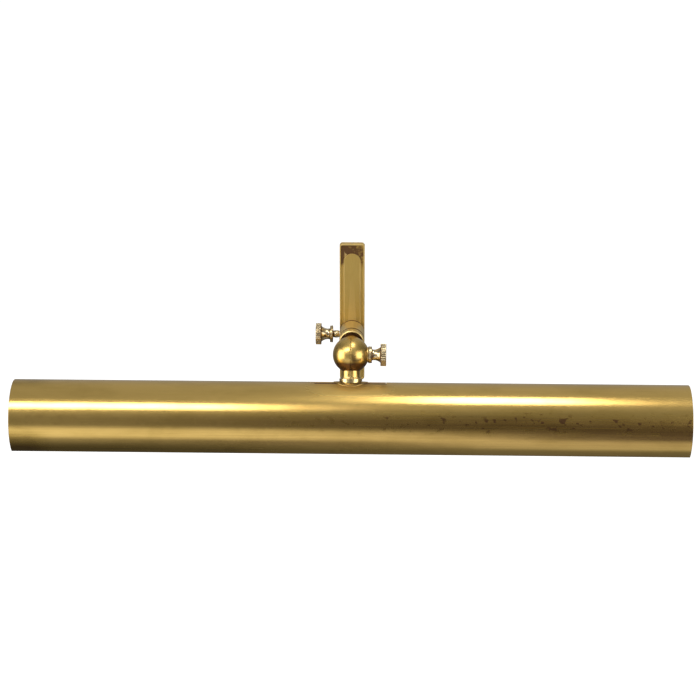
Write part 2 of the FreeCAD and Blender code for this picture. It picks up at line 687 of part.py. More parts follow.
def end_cap():
    """Right-hand disc closing the shade from lip to lip, with a flange soldered to the sheet."""
    outside = SHADE_LENGTH / 2 - END_CAP_INSET
    inside = outside - END_CAP_FLANGE
    radius = SHADE_RADIUS - SHADE_WALL
    sheet_inside = outside - END_CAP_SHEET
    disc = cyl_x(radius, sheet_inside, outside, 0, AXIS_Z)
    open_deg = (LIP_FRONT_DEG + LIP_BACK_DEG) / 2 + 180
    chord = -radius * math.cos(math.radians((LIP_BACK_DEG - LIP_FRONT_DEG) / 2)) - 0.5
    covered = box(0, SHADE_LENGTH, -2 * radius, 2 * radius, -2 * radius, chord)
    covered.rotate(ORIGIN, X_AXIS, 90 - open_deg)
    covered.translate(vec(0, 0, AXIS_Z))
    flange_inner = radius - END_CAP_FLANGE_SHEET
    start = LIP_FRONT_DEG + END_CAP_DEG
    stop = LIP_BACK_DEG - END_CAP_DEG
    flange = curved_sheet(flange_inner, radius, start, stop, inside, sheet_inside)
    return join([disc.common(covered), flange])


# ---- lampholders and lamps ----


def socket_bracket():
    """Folded strip under the crown plate with a round ear for each lampholder."""
    top = bracket_top()
    half = BRACKET_WIDTH / 2
    outer = EAR_X + SHEET
    web = box(-outer, outer, -half, half, top - SHEET, top)
    ear = box(EAR_X, outer, -half, half, AXIS_Z, top).fuse(cyl_x(EAR_RADIUS, EAR_X, outer, 0, AXIS_Z))
    tools = [cyl_z(NIPPLE_RADIUS, -60, 0), cyl_x(EAR_HOLE_RADIUS, -30, 30, 0, AXIS_Z)]
    for y in (-HOLDER_SCREW_Y, HOLDER_SCREW_Y):
        tools.append(cyl_x(HOLDER_SCREW_HOLE, -30, 30, y, AXIS_Z))
    return join([web, ear, mirrored_x(ear)]).cut(tools)


def holder_body():
    back = EAR_X + SHEET
    front = back + HOLDER_LENGTH
    body = cyl_x(HOLDER_RADIUS, back, front, 0, AXIS_Z)
    rim = [e for e in body.Edges if e.BoundBox.XMin > front - 0.01]
    body = body.makeFillet(HOLDER_ROUND, rim)
    mouth = SHELL_RADIUS + SHELL_WALL + 0.1
    tools = [cyl_x(mouth, back + HOLDER_FLOOR, front + 1, 0, AXIS_Z)]
    tools.append(cyl_x(LEAD_RADIUS + 0.2, back - 1, back + 4.0, 0, AXIS_Z))
    for y in (-HOLDER_SCREW_Y, HOLDER_SCREW_Y):
        tools.append(cyl_x(HOLDER_SCREW_RADIUS, back - 1, back + 5.0, y, AXIS_Z))
    return body.cut(tools)


def holder_shell():
    start = EAR_X + SHEET + HOLDER_FLOOR + 0.5
    tube = cyl_x(SHELL_RADIUS + SHELL_WALL, start, start + SHELL_LENGTH, 0, AXIS_Z)
    return tube.cut(cyl_x(SHELL_RADIUS, 0, 100, 0, AXIS_Z))


def holder_contact():
    start = EAR_X + SHEET + HOLDER_FLOOR
    half = CONTACT_HALF
    return box(start, start + CONTACT_SHEET, -half, half, AXIS_Z - half, AXIS_Z + half)


def holder_screws():
    screws = []
    for y in (-HOLDER_SCREW_Y, HOLDER_SCREW_Y):
        head = cyl_x(HOLDER_SCREW_HEAD[1], EAR_X - HOLDER_SCREW_HEAD[0], EAR_X, y, AXIS_Z)
        end = EAR_X + SHEET + HOLDER_SCREW_REACH
        shank = cyl_x(HOLDER_SCREW_RADIUS, EAR_X - 1.0, end, y, AXIS_Z)
        slot = box(EAR_X - 3, EAR_X - 1.1, y - 4, y + 4, AXIS_Z - 0.35, AXIS_Z + 0.35)
        screws.append(join([head, shank]).cut(slot))
    return screws


def lamp_base():
    """Screw cap with its insulator and tip contact; the thread is drawn as rings."""
    end = LAMP_BASE_X + LAMP_BASE_LENGTH
    steps = [(LAMP_BASE_X + INSULATOR_STEPS[0][0], 0.0)]
    for along, radius in INSULATOR_STEPS:
        steps.append((LAMP_BASE_X + along, radius))
    x = LAMP_BASE_X + 1.5
    for _ in range(CAP_THREADS):
        steps.append((x, LAMP_BASE_RADIUS - CAP_THREAD_DEPTH))
        steps.append((x + CAP_PITCH / 2, LAMP_BASE_RADIUS))
        x = x + CAP_PITCH
    steps.append((x, LAMP_BASE_RADIUS - CAP_SKIRT))
    steps.append((end, LAMP_BASE_RADIUS - CAP_SKIRT))
    steps.append((end, 0.0))
    base = lathe_x(steps)
    hollow = cyl_x(LAMP_BASE_RADIUS - LAMP_BASE_WALL, LAMP_BASE_X + 6.0, end + 1)
    return moved_to_axis(base.cut(hollow))


def lamp_glass():
    """Tubular bulb with a domed end; its neck stands in the screw cap."""
    neck = LAMP_BASE_RADIUS - LAMP_BASE_WALL - RUNNING
    start = LAMP_BASE_X + LAMP_BASE_LENGTH - GLASS_IN_CAP
    tip = LAMP_BASE_X + LAMP_LENGTH
    flare = LAMP_BASE_X + LAMP_BASE_LENGTH + GLASS_FLARE_START
    tube = flare + GLASS_FLARE
    outer = glass_form(start, neck, flare, tube, tip, LAMP_GLASS_RADIUS)
    inner = glass_form(
        start - 1.0, neck - GLASS_WALL, flare + 0.3, tube + 0.3, tip - GLASS_WALL,
        LAMP_GLASS_RADIUS - GLASS_WALL,
    )
    return moved_to_axis(outer.cut(inner))


def glass_form(start, neck, flare, tube, tip, radius):
    dome = math.sqrt(0.5) * radius
    steps = [(start, 0.0), (start, neck), (flare, neck), (tube, radius), (tip - radius, radius)]
    steps.append((tip - radius + dome, dome, tip, 0.0))
    return lathe_x(steps)


def lamp_filament():
    """Glass stem, a long support rod and the coiled filament held beside it."""
    start = LAMP_BASE_X + STEM_FROM_CAP
    root = start + STEM_GLASS_LENGTH
    tip = LAMP_BASE_X + LAMP_LENGTH - SUPPORT_FROM_TIP
    coil_z = AXIS_Z + COIL_OFFSET
    pieces = [cyl_x(STEM_GLASS_RADIUS, start, root, 0, AXIS_Z)]
    pieces.append(cyl_x(SUPPORT_RADIUS, root - 2, tip, 0, AXIS_Z))
    pieces.append(cyl_x(COIL_RADIUS, root + 4, tip - 2, 0, coil_z))
    for hook in range(HOOKS):
        x = root + 5 + hook * (tip - root - 8) / (HOOKS - 1)
        pieces.append(cyl_z(HOOK_RADIUS, AXIS_Z, coil_z, x, 0))
    return join(pieces)


def moved_to_axis(shape):
    shape.translate(vec(0, 0, AXIS_Z))
    return shape


def lamp_lead():
    """Lead from the right lampholder through the ear and up into the nipple."""
    corner = LEAD_X + LEAD_BEND
    run = cyl_x(LEAD_RADIUS, corner, EAR_X + SHEET + 3.5, 0, AXIS_Z)
    rise = cyl_z(LEAD_RADIUS, AXIS_Z + LEAD_BEND, -16.0, LEAD_X, 0)
    centre = vec(corner, 0, AXIS_Z + LEAD_BEND)
    bend = Part.makeTorus(LEAD_BEND, LEAD_RADIUS, centre, Y_AXIS)
    quarter = box(LEAD_X - 2, corner, -2, 2, AXIS_Z - 2, AXIS_Z + LEAD_BEND)
    return join([run, bend.common(quarter), rise])


# ---- write every part ----


def save_pair(name, shape):
    save(name + "_right", place_head(shape))
    save(name + "_left", place_head(mirrored_x(shape)))


def main():
    os.makedirs("parts", exist_ok=True)

    save("backplate", backplate())
    save("mounting_strap", mounting_strap())
    save("strap_grub_screws", strap_grub_screws())
    save("earth_screw", earth_screw())
    save("wire_grommet", wire_grommet())

    save("swivel_boss", swivel_boss())
    save("boss_end_ring", boss_end_ring())
    save("boss_screws", boss_screws())
    save("swivel_bush", swivel_bush())
    save("swivel_tongue", swivel_tongue())
    save("spigot_retaining_ring", spigot_retaining_ring())
    save("swivel_knob_head", swivel_knob_head())
    save("swivel_knob_screw", swivel_knob_screw())

    save("ball_half_left", place_head(ball_half(-1)))
    save("ball_half_right", place_head(ball_half(1)))
    save("friction_washers", [place_head(washer) for washer in friction_washers()])
    save("tilt_washer", place_head(tilt_washer()))
    save("tilt_knob_head", place_head(tilt_knob_head()))
    save("tilt_knob_screw", place_head(tilt_knob_screw()))

    save("neck_collar", place_head(neck_collar()))
    save("saddle_washer", place_head(saddle_washer()))
    save("crown_plate", place_head(crown_plate()))
    save("neck_nipple", place_head(neck_nipple()))
    save("nipple_lock_washer", place_head(nipple_lock_washer()))
    save("nipple_lock_nut", place_head(nipple_lock_nut()))
    save("socket_bracket", place_head(socket_bracket()))

    save("shade_shell", place_head(shade_shell()))
    save_pair("end_cap", end_cap())
    save_pair("lampholder", holder_body())
    save_pair("lampholder_shell", holder_shell())
    save_pair("lampholder_contact", holder_contact())
    screws = holder_screws()
    screws.extend([mirrored_x(screw) for screw in screws])
    save("lampholder_screws", [place_head(screw) for screw in screws])
    save_pair("lamp_base", lamp_base())
    save_pair("lamp_glass", lamp_glass())
    save_pair("lamp_filament", lamp_filament())
    save_pair("lamp_lead", lamp_lead())


main()
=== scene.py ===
import json
import math

import bmesh
import bpy
from mathutils import Matrix, Vector


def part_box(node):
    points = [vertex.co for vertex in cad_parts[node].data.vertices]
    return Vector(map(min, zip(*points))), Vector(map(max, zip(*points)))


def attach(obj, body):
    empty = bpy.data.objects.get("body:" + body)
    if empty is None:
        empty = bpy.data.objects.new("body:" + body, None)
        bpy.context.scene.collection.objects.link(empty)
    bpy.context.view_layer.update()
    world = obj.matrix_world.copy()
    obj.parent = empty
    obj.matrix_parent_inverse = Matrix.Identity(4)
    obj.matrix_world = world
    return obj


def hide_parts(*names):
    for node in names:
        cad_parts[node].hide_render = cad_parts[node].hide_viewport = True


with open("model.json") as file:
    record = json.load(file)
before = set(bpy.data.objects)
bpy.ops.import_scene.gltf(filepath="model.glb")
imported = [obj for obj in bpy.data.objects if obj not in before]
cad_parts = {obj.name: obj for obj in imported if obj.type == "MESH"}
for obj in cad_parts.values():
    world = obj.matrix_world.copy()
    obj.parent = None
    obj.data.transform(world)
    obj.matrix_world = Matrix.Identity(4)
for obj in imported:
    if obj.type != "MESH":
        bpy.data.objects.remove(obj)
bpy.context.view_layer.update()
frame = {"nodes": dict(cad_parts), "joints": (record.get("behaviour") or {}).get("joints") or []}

# Pieces are drawn in millimetres in the part's own frame: X along the shade, -Y the front, +Z up.
# The head's pieces are drawn about the ball's centre with the neck along Z, then leaned forward.
# Materials, lights and the camera work in metres, as the finished meshes do.

MM = 0.001
TURN = 2 * math.pi


def joint_place(name):
    joint = [j for j in frame["joints"] if j["name"] == name][0]
    return Vector(joint["pos_m"]) / MM


def node_box(name):
    low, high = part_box(name)
    return low / MM, high / MM


BALL = joint_place("tilt")
BOSS = joint_place("swivel")
SWIVEL_SCREW = joint_place("swivel_knob_turn")
LAMP_AXIS = joint_place("lamp_left_turn")
LAMP_AXIS.x = 0.0
NECK_WAY = LAMP_AXIS - BALL
LEAN = math.atan2(-NECK_WAY.y, -NECK_WAY.z)
AXIS_Z = -NECK_WAY.length
HEAD = Matrix.Translation(BALL) @ Matrix.Rotation(-LEAN, 4, "X")
LAMP = HEAD @ Matrix.Translation((0, 0, AXIS_Z))
HALF_TURN = Matrix.Rotation(math.pi, 4, "Z")
ALONG_Y = Matrix.Rotation(math.pi / 2, 4, "Z")
ALONG_Z = Matrix.Rotation(-math.pi / 2, 4, "Y")
BOSS_LINE = Matrix.Translation((0, 0, BOSS.z)) @ ALONG_Y

SHADE_LOW, SHADE_HIGH = node_box("shade_shell")
SHADE_HALF = SHADE_HIGH.x
SHADE_RADIUS = LAMP_AXIS.y - SHADE_LOW.y
SHADE_WALL = 1.0
# The shade's two lips, by angle about its axis from straight ahead of the neck.
LIP_FRONT_DEG = -65.0
LIP_BACK_DEG = 155.0
WINDOW_HALF = Vector((32.05, 9.25))
CROWN_HALF = Vector((31.8, 9.0))
NIPPLE_RADIUS = 5.0

PLATE_LOW, PLATE_HIGH = node_box("backplate")
PLATE_FRONT = PLATE_LOW.y
FIELD_DEPTH = 0.5
PANEL_WIDTH = 15.6
PANEL_HEIGHT = 118.0
PANEL_SPRING = (PANEL_HEIGHT - PANEL_WIDTH) / 2
BOSS_RING_LOW, BOSS_RING_HIGH = node_box("boss_end_ring")
BOSS_RADIUS = BOSS_RING_HIGH.x
BOSS_FOOT = 1.3
BOSS_GROOVE = 1.0
BALL_RADIUS = -node_box("ball_half_left")[0].x
HALF_SEAM = 0.2
NECK_RADIUS = 8.25
NECK_BOTTOM = -20.1
COLLAR_RADIUS = 10.4
SADDLE_RADIUS = 15.5
LAMP_THREAD = (28.5, 47.0)

# Corners of each thumb-screw that get dirt and painted shade: (distance out from the plane X = 0, reach each
# way).
KNOB_CORNERS = {
    -1: ((17.5, 0.6), (20.3, 0.7), (28.3, 0.8)),
    1: ((15.7, 0.7), (19.1, 0.7), (26.8, 0.8)),
}
# The middles of the boss's two turned grooves, along Y.
GROOVES = (PLATE_FRONT - BOSS_FOOT - BOSS_GROOVE / 2, BOSS_RING_HIGH.y + BOSS_GROOVE / 2)
# The crown plate's front joint, in radians up from the front horizon.
JOINT_ANGLE = math.pi / 2 + LEAN - math.asin(WINDOW_HALF.y / SHADE_RADIUS)


# ---- nodes ----


class Tree:
    """The nodes of one material or of the world, added one at a time."""

    def __init__(self, tree):
        self.nodes = tree.nodes
        self.links = tree.links
        self.nodes.clear()

    def add(self, kind, inputs, **settings):
        node = self.nodes.new("ShaderNode" + kind)
        for name, value in settings.items():
            setattr(node, name, value)
        for key, value in inputs.items():
            if isinstance(value, bpy.types.NodeSocket):
                self.links.new(value, node.inputs[key])
            else:
                node.inputs[key].default_value = value
        return node

    def math(self, operation, a, b=0.0, clamp=False):
        node = self.add("Math", {0: a, 1: b}, operation=operation, use_clamp=clamp)
        return node.outputs[0]

    def times(self, a, b):
        return self.math("MULTIPLY", a, b)

    def plus(self, a, b, clamp=False):
        return self.math("ADD", a, b, clamp)

    def apart(self, a, b):
        """How far a is from b."""
        return self.math("ABSOLUTE", self.math("SUBTRACT", a, b))

    def fit(self, value, low, high, to_low=0.0, to_high=1.0, smooth=False):
        kind = "SMOOTHSTEP" if smooth else "LINEAR"
        inputs = {0: value, 1: low, 2: high, 3: to_low, 4: to_high}
        return self.add("MapRange", inputs, interpolation_type=kind).outputs[0]

    def rise(self, value, low, high, top=1.0):
        """A smooth climb from 0 at low to top at high."""
        return self.fit(value, low, high, 0.0, top, True)

    def mix(self, factor, a, b, blend="MIX"):
        inputs = {0: factor, 6: a, 7: b}
        return self.add("Mix", inputs, data_type="RGBA", blend_type=blend).outputs[2]

    def even(self, value):
        """A colour with the same value in all three channels."""
        return self.add("CombineColor", {0: value, 1: value, 2: value}).outputs[0]

    def ramp(self, factor, stops):
        node = self.add("ValToRGB", {0: factor})
        elements = node.color_ramp.elements
        while len(elements) < len(stops):
            elements.new(0.5)
        for element, (place, colour) in zip(elements, stops):
            element.position = place
            element.color = (*colour, 1.0)
        return node.outputs[0]

    def object_place(self):
        return self.add("TexCoord", {}).outputs["Object"]

    def stretched(self, place, scale):
        return self.add("Mapping", {"Vector": place, "Scale": scale}).outputs[0]

    def split(self, place):
        return self.add("SeparateXYZ", {0: place}).outputs

    def noise(self, place, scale, detail=4.0, rough=0.55, twist=0.0):
        inputs = {"Vector": place, "Scale": scale, "Detail": detail, "Roughness": rough}
        inputs["Distortion"] = twist
        return self.add("TexNoise", inputs).outputs[0]

    def bump(self, height, strength, distance, normal=None):
        inputs = {"Height": height, "Strength": strength, "Distance": distance}
        if normal is not None:
            inputs["Normal"] = normal
        return self.add("Bump", inputs).outputs[0]


def grey(value):
    return (value, value, value)


def rgba(colour):
    return (*colour, 1.0)


MATERIALS = {}


def new_material(name):
    """Starts a finish and keeps it in MATERIALS; gives its empty node tree."""
    material = bpy.data.materials.new(name)
    material.use_nodes = True
    MATERIALS[name] = material
    return Tree(material.node_tree)


def close_material(tree, inputs):
    shader = tree.add("BsdfPrincipled", inputs)
    output = tree.add("OutputMaterial", {})
    tree.links.new(shader.outputs[0], output.inputs["Surface"])


# ---- brass ----

GOLD = (0.80, 0.545, 0.165)
PALE_GOLD = (0.87, 0.66, 0.27)
OLIVE = (0.52, 0.345, 0.085)
BROWN = (0.16, 0.085, 0.035)


def brass(name, brush, patina, rough, wear_and_sheen=0.0, lacquer=0.1, masks=None, gold=GOLD, metal=1.0,
          pale=PALE_GOLD, pitted=0.7, relief=1.0, painted_highlights=None, soft=None):
    """Aged brass: cloudy tarnish, fine brushing along one axis, pits, dark hollows, and pale outer edges
    that are partly wear and partly painted highlight. brush is the streaks' scale along X, Y and Z, and
    rough the least and most roughness; masks gives extra darkening that is partly tarnish and dirt and
    partly painted shade and reflection, the highlight function adds painted highlights in the pale
    colour, and soft gives extra roughness."""
    tree = new_material(name)
    place = tree.object_place()
    streak = tree.noise(tree.stretched(place, brush), 1.0, 6.0, 0.65)
    hair = tree.noise(tree.stretched(place, tuple(3.1 * b for b in brush)), 1.0, 3.0, 0.6)
    cloud = tree.noise(tree.stretched(place, (0.45, 1.0, 1.0)), 38.0, 5.0, 0.6, 0.3)
    speck = tree.noise(place, 900.0, 2.0, 0.5)
    tarnish_and_painted_shade = tree.fit(cloud, 0.44, 0.78, 0.0, patina)
    tarnish_and_painted_shade = tree.plus(tarnish_and_painted_shade, tree.fit(streak, 0.50, 0.78, 0.0, 0.45 * patina))
    # Extra darkening: partly tarnish and dirt, partly painted shade and painted dark reflection.
    if masks is not None:
        tarnish_and_painted_shade = tree.plus(tarnish_and_painted_shade, masks(tree, place))
    pits = tree.rise(speck, 0.70, 0.76, 0.5)
    tarnish_and_painted_shade = tree.plus(tarnish_and_painted_shade, tree.times(pits, pitted), True)
    base = tree.mix(tree.fit(hair, 0.3, 0.7), rgba(gold), rgba(tuple(0.9 * g for g in gold)))
    colour = tree.mix(tree.fit(tarnish_and_painted_shade, 0.0, 0.55), base, rgba(OLIVE))
    colour = tree.mix(tree.fit(tarnish_and_painted_shade, 0.45, 1.0), colour, rgba(BROWN))
    # Pale on sharp outer edges, partly wear and partly painted highlight; brown in the creases.
    if wear_and_sheen > 0:
        edge = tree.add("NewGeometry", {}).outputs["Pointiness"]
        colour = tree.mix(tree.fit(edge, 0.52, 0.60, 0.0, wear_and_sheen), colour, rgba(pale))
        colour = tree.mix(tree.fit(edge, 0.48, 0.40, 0.0, wear_and_sheen), colour, rgba(BROWN))
    # Painted highlights, mixed in as the pale colour.
    if painted_highlights is not None:
        colour = tree.mix(painted_highlights(tree, place), colour, rgba(pale))
    shine = tree.fit(streak, 0.3, 0.75, rough[0], rough[1])
    if soft is not None:
        shine = tree.plus(shine, soft(tree, place))
    shine = tree.plus(shine, tree.fit(tarnish_and_painted_shade, 0.2, 1.0, 0.0, 0.16))
    shape = tree.bump(hair, 0.25 * relief, 0.00001)
    shape = tree.bump(cloud, 0.06 * relief, 0.0012, shape)
    shape = tree.bump(pits, -0.5 * relief, 0.00002, shape)
    inputs = {"Base Color": colour, "Metallic": metal, "Roughness": shine, "Normal": shape}
    inputs["Coat Weight"] = lacquer
    inputs["Coat Roughness"] = 0.12
    close_material(tree, inputs)


def round_shade(tree, place):
    """Place along the shade, and angle about its axis in radians up from the front horizon."""
    along, across, up = tree.split(place)
    low = tree.math("SUBTRACT", up, LAMP_AXIS.z * MM)
    out = tree.math("SUBTRACT", LAMP_AXIS.y * MM, across)
    return along, tree.math("ARCTAN2", low, out)


def shade_stains_and_painted_shade(tree, place):
    """A long brown band along the right-hand front of the shade, partly tarnish and partly painted dark
    reflection, with spots in it; dirt and a painted gap shadow along the crown plate's front joint and
    painted shade round the neck's foot; painted dark reflection at the left end and on the lower front."""
    along, angle = round_shade(tree, place)
    aside = tree.math("ABSOLUTE", along)
    wander = tree.noise(tree.stretched(place, (1.0, 0.1, 0.1)), 14.0, 3.0, 0.5)
    wavy = tree.plus(angle, tree.fit(wander, 0.3, 0.7, -0.07, 0.07))

    # Painted dark reflection mixed with real tarnish: a brown band along the right-hand front.
    rise = tree.rise(wavy, 0.02, 0.32)
    fall = tree.rise(wavy, 0.84, 0.50)
    right = tree.fit(along, -0.13, 0.06, 0.15, 1.0, True)
    stain_and_dark_reflection = tree.times(tree.times(tree.times(rise, fall), right), 0.42)
    spots = tree.noise(tree.stretched(place, (0.7, 1.0, 1.0)), 230.0, 2.0, 0.5)
    spots = tree.times(tree.rise(spots, 0.57, 0.66, 0.5), tree.times(stain_and_dark_reflection, 2.4))

    # Dirt and a painted gap shadow along the crown plate's front joint, and painted shade on the crown round
    # the neck's foot.
    joint = tree.rise(tree.apart(angle, JOINT_ANGLE), 0.055, 0.03, 1.2)
    past_window = (WINDOW_HALF.x + 0.75) * MM
    inside = tree.fit(aside, past_window, (WINDOW_HALF.x - 0.05) * MM, 0.0, 1.0)
    near = tree.rise(aside, 0.021, 0.012, 0.5)
    crown = tree.rise(angle, JOINT_ANGLE - 0.16, JOINT_ANGLE + 0.02)
    neck = tree.plus(tree.times(joint, inside), tree.times(near, crown))

    # Painted dark reflection at the left end, above and below the bright band.
    end = tree.rise(along, -0.262, -0.288, 0.42)
    end = tree.times(end, tree.fit(wander, 0.3, 0.6, 0.6, 1.2))
    end = tree.times(end, tree.rise(tree.apart(angle, 0.72), 0.45, 0.85))

    # Painted dark reflection on the lower front, most towards the left.
    under = tree.rise(wavy, -0.28, -0.50, 0.35)
    under = tree.times(under, tree.fit(along, 0.12, -0.02, 0.3, 1.0, True))
    total = stain_and_dark_reflection
    for more in (neck, end, spots, under):
        total = tree.plus(total, more)
    return total


def crown_soft(tree, place):
    """The shade is duller round the foot of the neck."""
    along, angle = round_shade(tree, place)
    near = tree.rise(tree.math("ABSOLUTE", along), 0.050, 0.020, 0.26)
    return tree.times(near, tree.rise(angle, JOINT_ANGLE - 0.75, JOINT_ANGLE - 0.25))


def knob_corner_dirt_and_shade(tree, place):
    """Dirt and painted shade in the corners beside each knob's collar and head, and round the stem's ends.
    """
    along = tree.split(place)[0]
    total = 0.0
    for side, corners in KNOB_CORNERS.items():
        out = tree.times(along, side / MM)
        for corner, reach in corners:
            near = tree.fit(tree.apart(out, corner), reach, 0.4 * reach, 0.0, 1.3)
            total = tree.math("MAXIMUM", near, total)
    return total


def plate_painted_highlights(tree, place):
    """Painted highlights on the panel's two long edges, on the plate's rim, most on the right, and along its
    top edge.
    """
    along, across, up = tree.split(place)
    aside = tree.math("ABSOLUTE", along)
    crest_highlight = tree.fit(tree.apart(aside, (PANEL_WIDTH / 2 - 0.4) * MM), 0.0006, 0.0002, 0.0, 0.6)
    straight = tree.fit(up, PANEL_SPRING * MM, (PANEL_SPRING - 3.2) * MM, 0.0, 1.0)
    crest_highlight = tree.times(crest_highlight, straight)
    rim = tree.fit(aside, (PLATE_HIGH.x - 1.2) * MM, (PLATE_HIGH.x - 0.8) * MM, 0.0, 1.0)
    rim = tree.times(rim, tree.fit(along, -0.01, 0.01, 0.15, 0.8))
    top = tree.fit(up, (PLATE_HIGH.z - 1.4) * MM, (PLATE_HIGH.z - 0.9) * MM, 0.0, 0.6)
    return tree.plus(tree.plus(crest_highlight, rim), top, True)


def boss_groove_patina_and_mouth_shade(tree, place):
    """Black patina in the two turned grooves, and painted shade inside the boss's mouth."""
    along, across, up = tree.split(place)
    high = tree.math("SUBTRACT", up, BOSS.z * MM)
    squares = tree.plus(tree.times(along, along), tree.times(high, high))
    radius = tree.math("SQRT", squares)
    # Painted shade: black inside the boss's mouth.
    total = tree.fit(radius, (BOSS_RADIUS - 0.75) * MM, (BOSS_RADIUS - 1.1) * MM, 0.0, 1.6)
    for groove in GROOVES:
        near = tree.fit(tree.apart(across, groove * MM), 0.0011, 0.0007, 0.0, 1.6)
        total = tree.plus(total, near)
    return total


def plate_tarnish(tree, place):
    """Old dark tarnish in the sunk field, thickest above the panel's arch."""
    along, across, up = tree.split(place)
    sunk = tree.fit(across, (PLATE_FRONT + 0.01) * MM, (PLATE_FRONT + 0.12) * MM, 0.0, 1.0)
    high = tree.fit(up, 0.042, 0.057, 0.25, 1.25, True)
    left = tree.fit(along, 0.008, -0.006, 0.75, 1.1)
    rough = tree.fit(tree.noise(place, 260.0, 4.0, 0.65), 0.3, 0.65, 0.4, 1.2)
    field = tree.times(tree.times(sunk, high), tree.times(left, rough))
    return tree.plus(field, tree.fit(tree.noise(place, 60.0), 0.45, 0.75, 0.0, 0.2))


def ball_darker_low(tree, place):
    """Darker on the ball towards its neck, none on the neck itself."""
    away = tree.add("VectorMath", {0: place, 1: BALL * MM}, operation="SUBTRACT").outputs[0]
    way = NECK_WAY.normalized()
    down = tree.add("VectorMath", {0: away, 1: way}, operation="DOT_PRODUCT").outputs["Value"]
    distance = tree.add("VectorMath", {0: away}, operation="LENGTH").outputs["Value"]
    ball = tree.fit(distance, (BALL_RADIUS + 0.4) * MM, (BALL_RADIUS + 0.15) * MM)
    low = tree.times(tree.rise(down, 0.0045, 0.0105, 1.35), ball)
    patch = tree.fit(tree.noise(place, 120.0, 4.0, 0.6), 0.42, 0.68, 0.0, 0.25)
    return tree.plus(low, patch)


# ---- other finishes ----


def plain_metal(name, colour, dark, rough, scale):
    """Clean metal, colour clouded and specked with dark."""
    tree = new_material(name)
    place = tree.object_place()
    cloud = tree.noise(place, scale, 5.0, 0.6)
    speck = tree.noise(place, 12.0 * scale, 2.0)
    colour = tree.mix(tree.fit(cloud, 0.40, 0.75), rgba(colour), rgba(dark))
    colour = tree.mix(tree.fit(speck, 0.62, 0.75, 0.0, 0.5), colour, rgba(dark))
    shine = tree.fit(cloud, 0.3, 0.7, rough[0], rough[1])
    shape = tree.bump(cloud, 0.08, 0.0003)
    inputs = {"Base Color": colour, "Metallic": 1.0, "Roughness": shine, "Normal": shape}
    close_material(tree, inputs)


def dull(name, colour, dark, rough, scale, coat=0.0, weave=None, grain=0.15):
    """Rubber, fibre, glazed porcelain or a woven sleeve."""
    tree = new_material(name)
    place = tree.object_place()
    cloud = tree.noise(place, scale, 5.0, 0.6)
    fine = tree.noise(place, 9.0 * scale, 3.0)
    colour = tree.mix(tree.fit(cloud, 0.35, 0.75), rgba(colour), rgba(dark))
    height = fine
    if weave is not None:
        wave = tree.add("TexWave", {"Vector": place, "Scale": weave, "Distortion": 1.5})
        wave.bands_direction = "DIAGONAL"
        height = tree.plus(tree.times(fine, 0.4), wave.outputs[1])
        colour = tree.mix(tree.fit(wave.outputs[1], 0.2, 0.8), rgba(dark), colour)
    shine = tree.fit(fine, 0.3, 0.7, rough[0], rough[1])
    shape = tree.bump(height, grain, 0.0003)
    inputs = {"Base Color": colour, "Roughness": shine, "Normal": shape}
    inputs["Coat Weight"] = coat
    inputs["Coat Roughness"] = 0.08
    close_material(tree, inputs)


def glass():
    """Clear lamp glass with a faint film on it."""
    tree = new_material("lamp_glass")
    place = tree.object_place()
    film = tree.noise(tree.stretched(place, (0.3, 1.0, 1.0)), 60.0, 4.0, 0.6)
    colour = tree.mix(tree.fit(film, 0.4, 0.7), rgba((1.0, 0.985, 0.95)), rgba((0.94, 0.93, 0.88)))
    shine = tree.fit(film, 0.35, 0.75, 0.01, 0.06)
    inputs = {"Base Color": colour, "Roughness": shine, "Transmission Weight": 1.0, "IOR": 1.45}
    inputs["Normal"] = tree.bump(film, 0.02, 0.0005)
    close_material(tree, inputs)


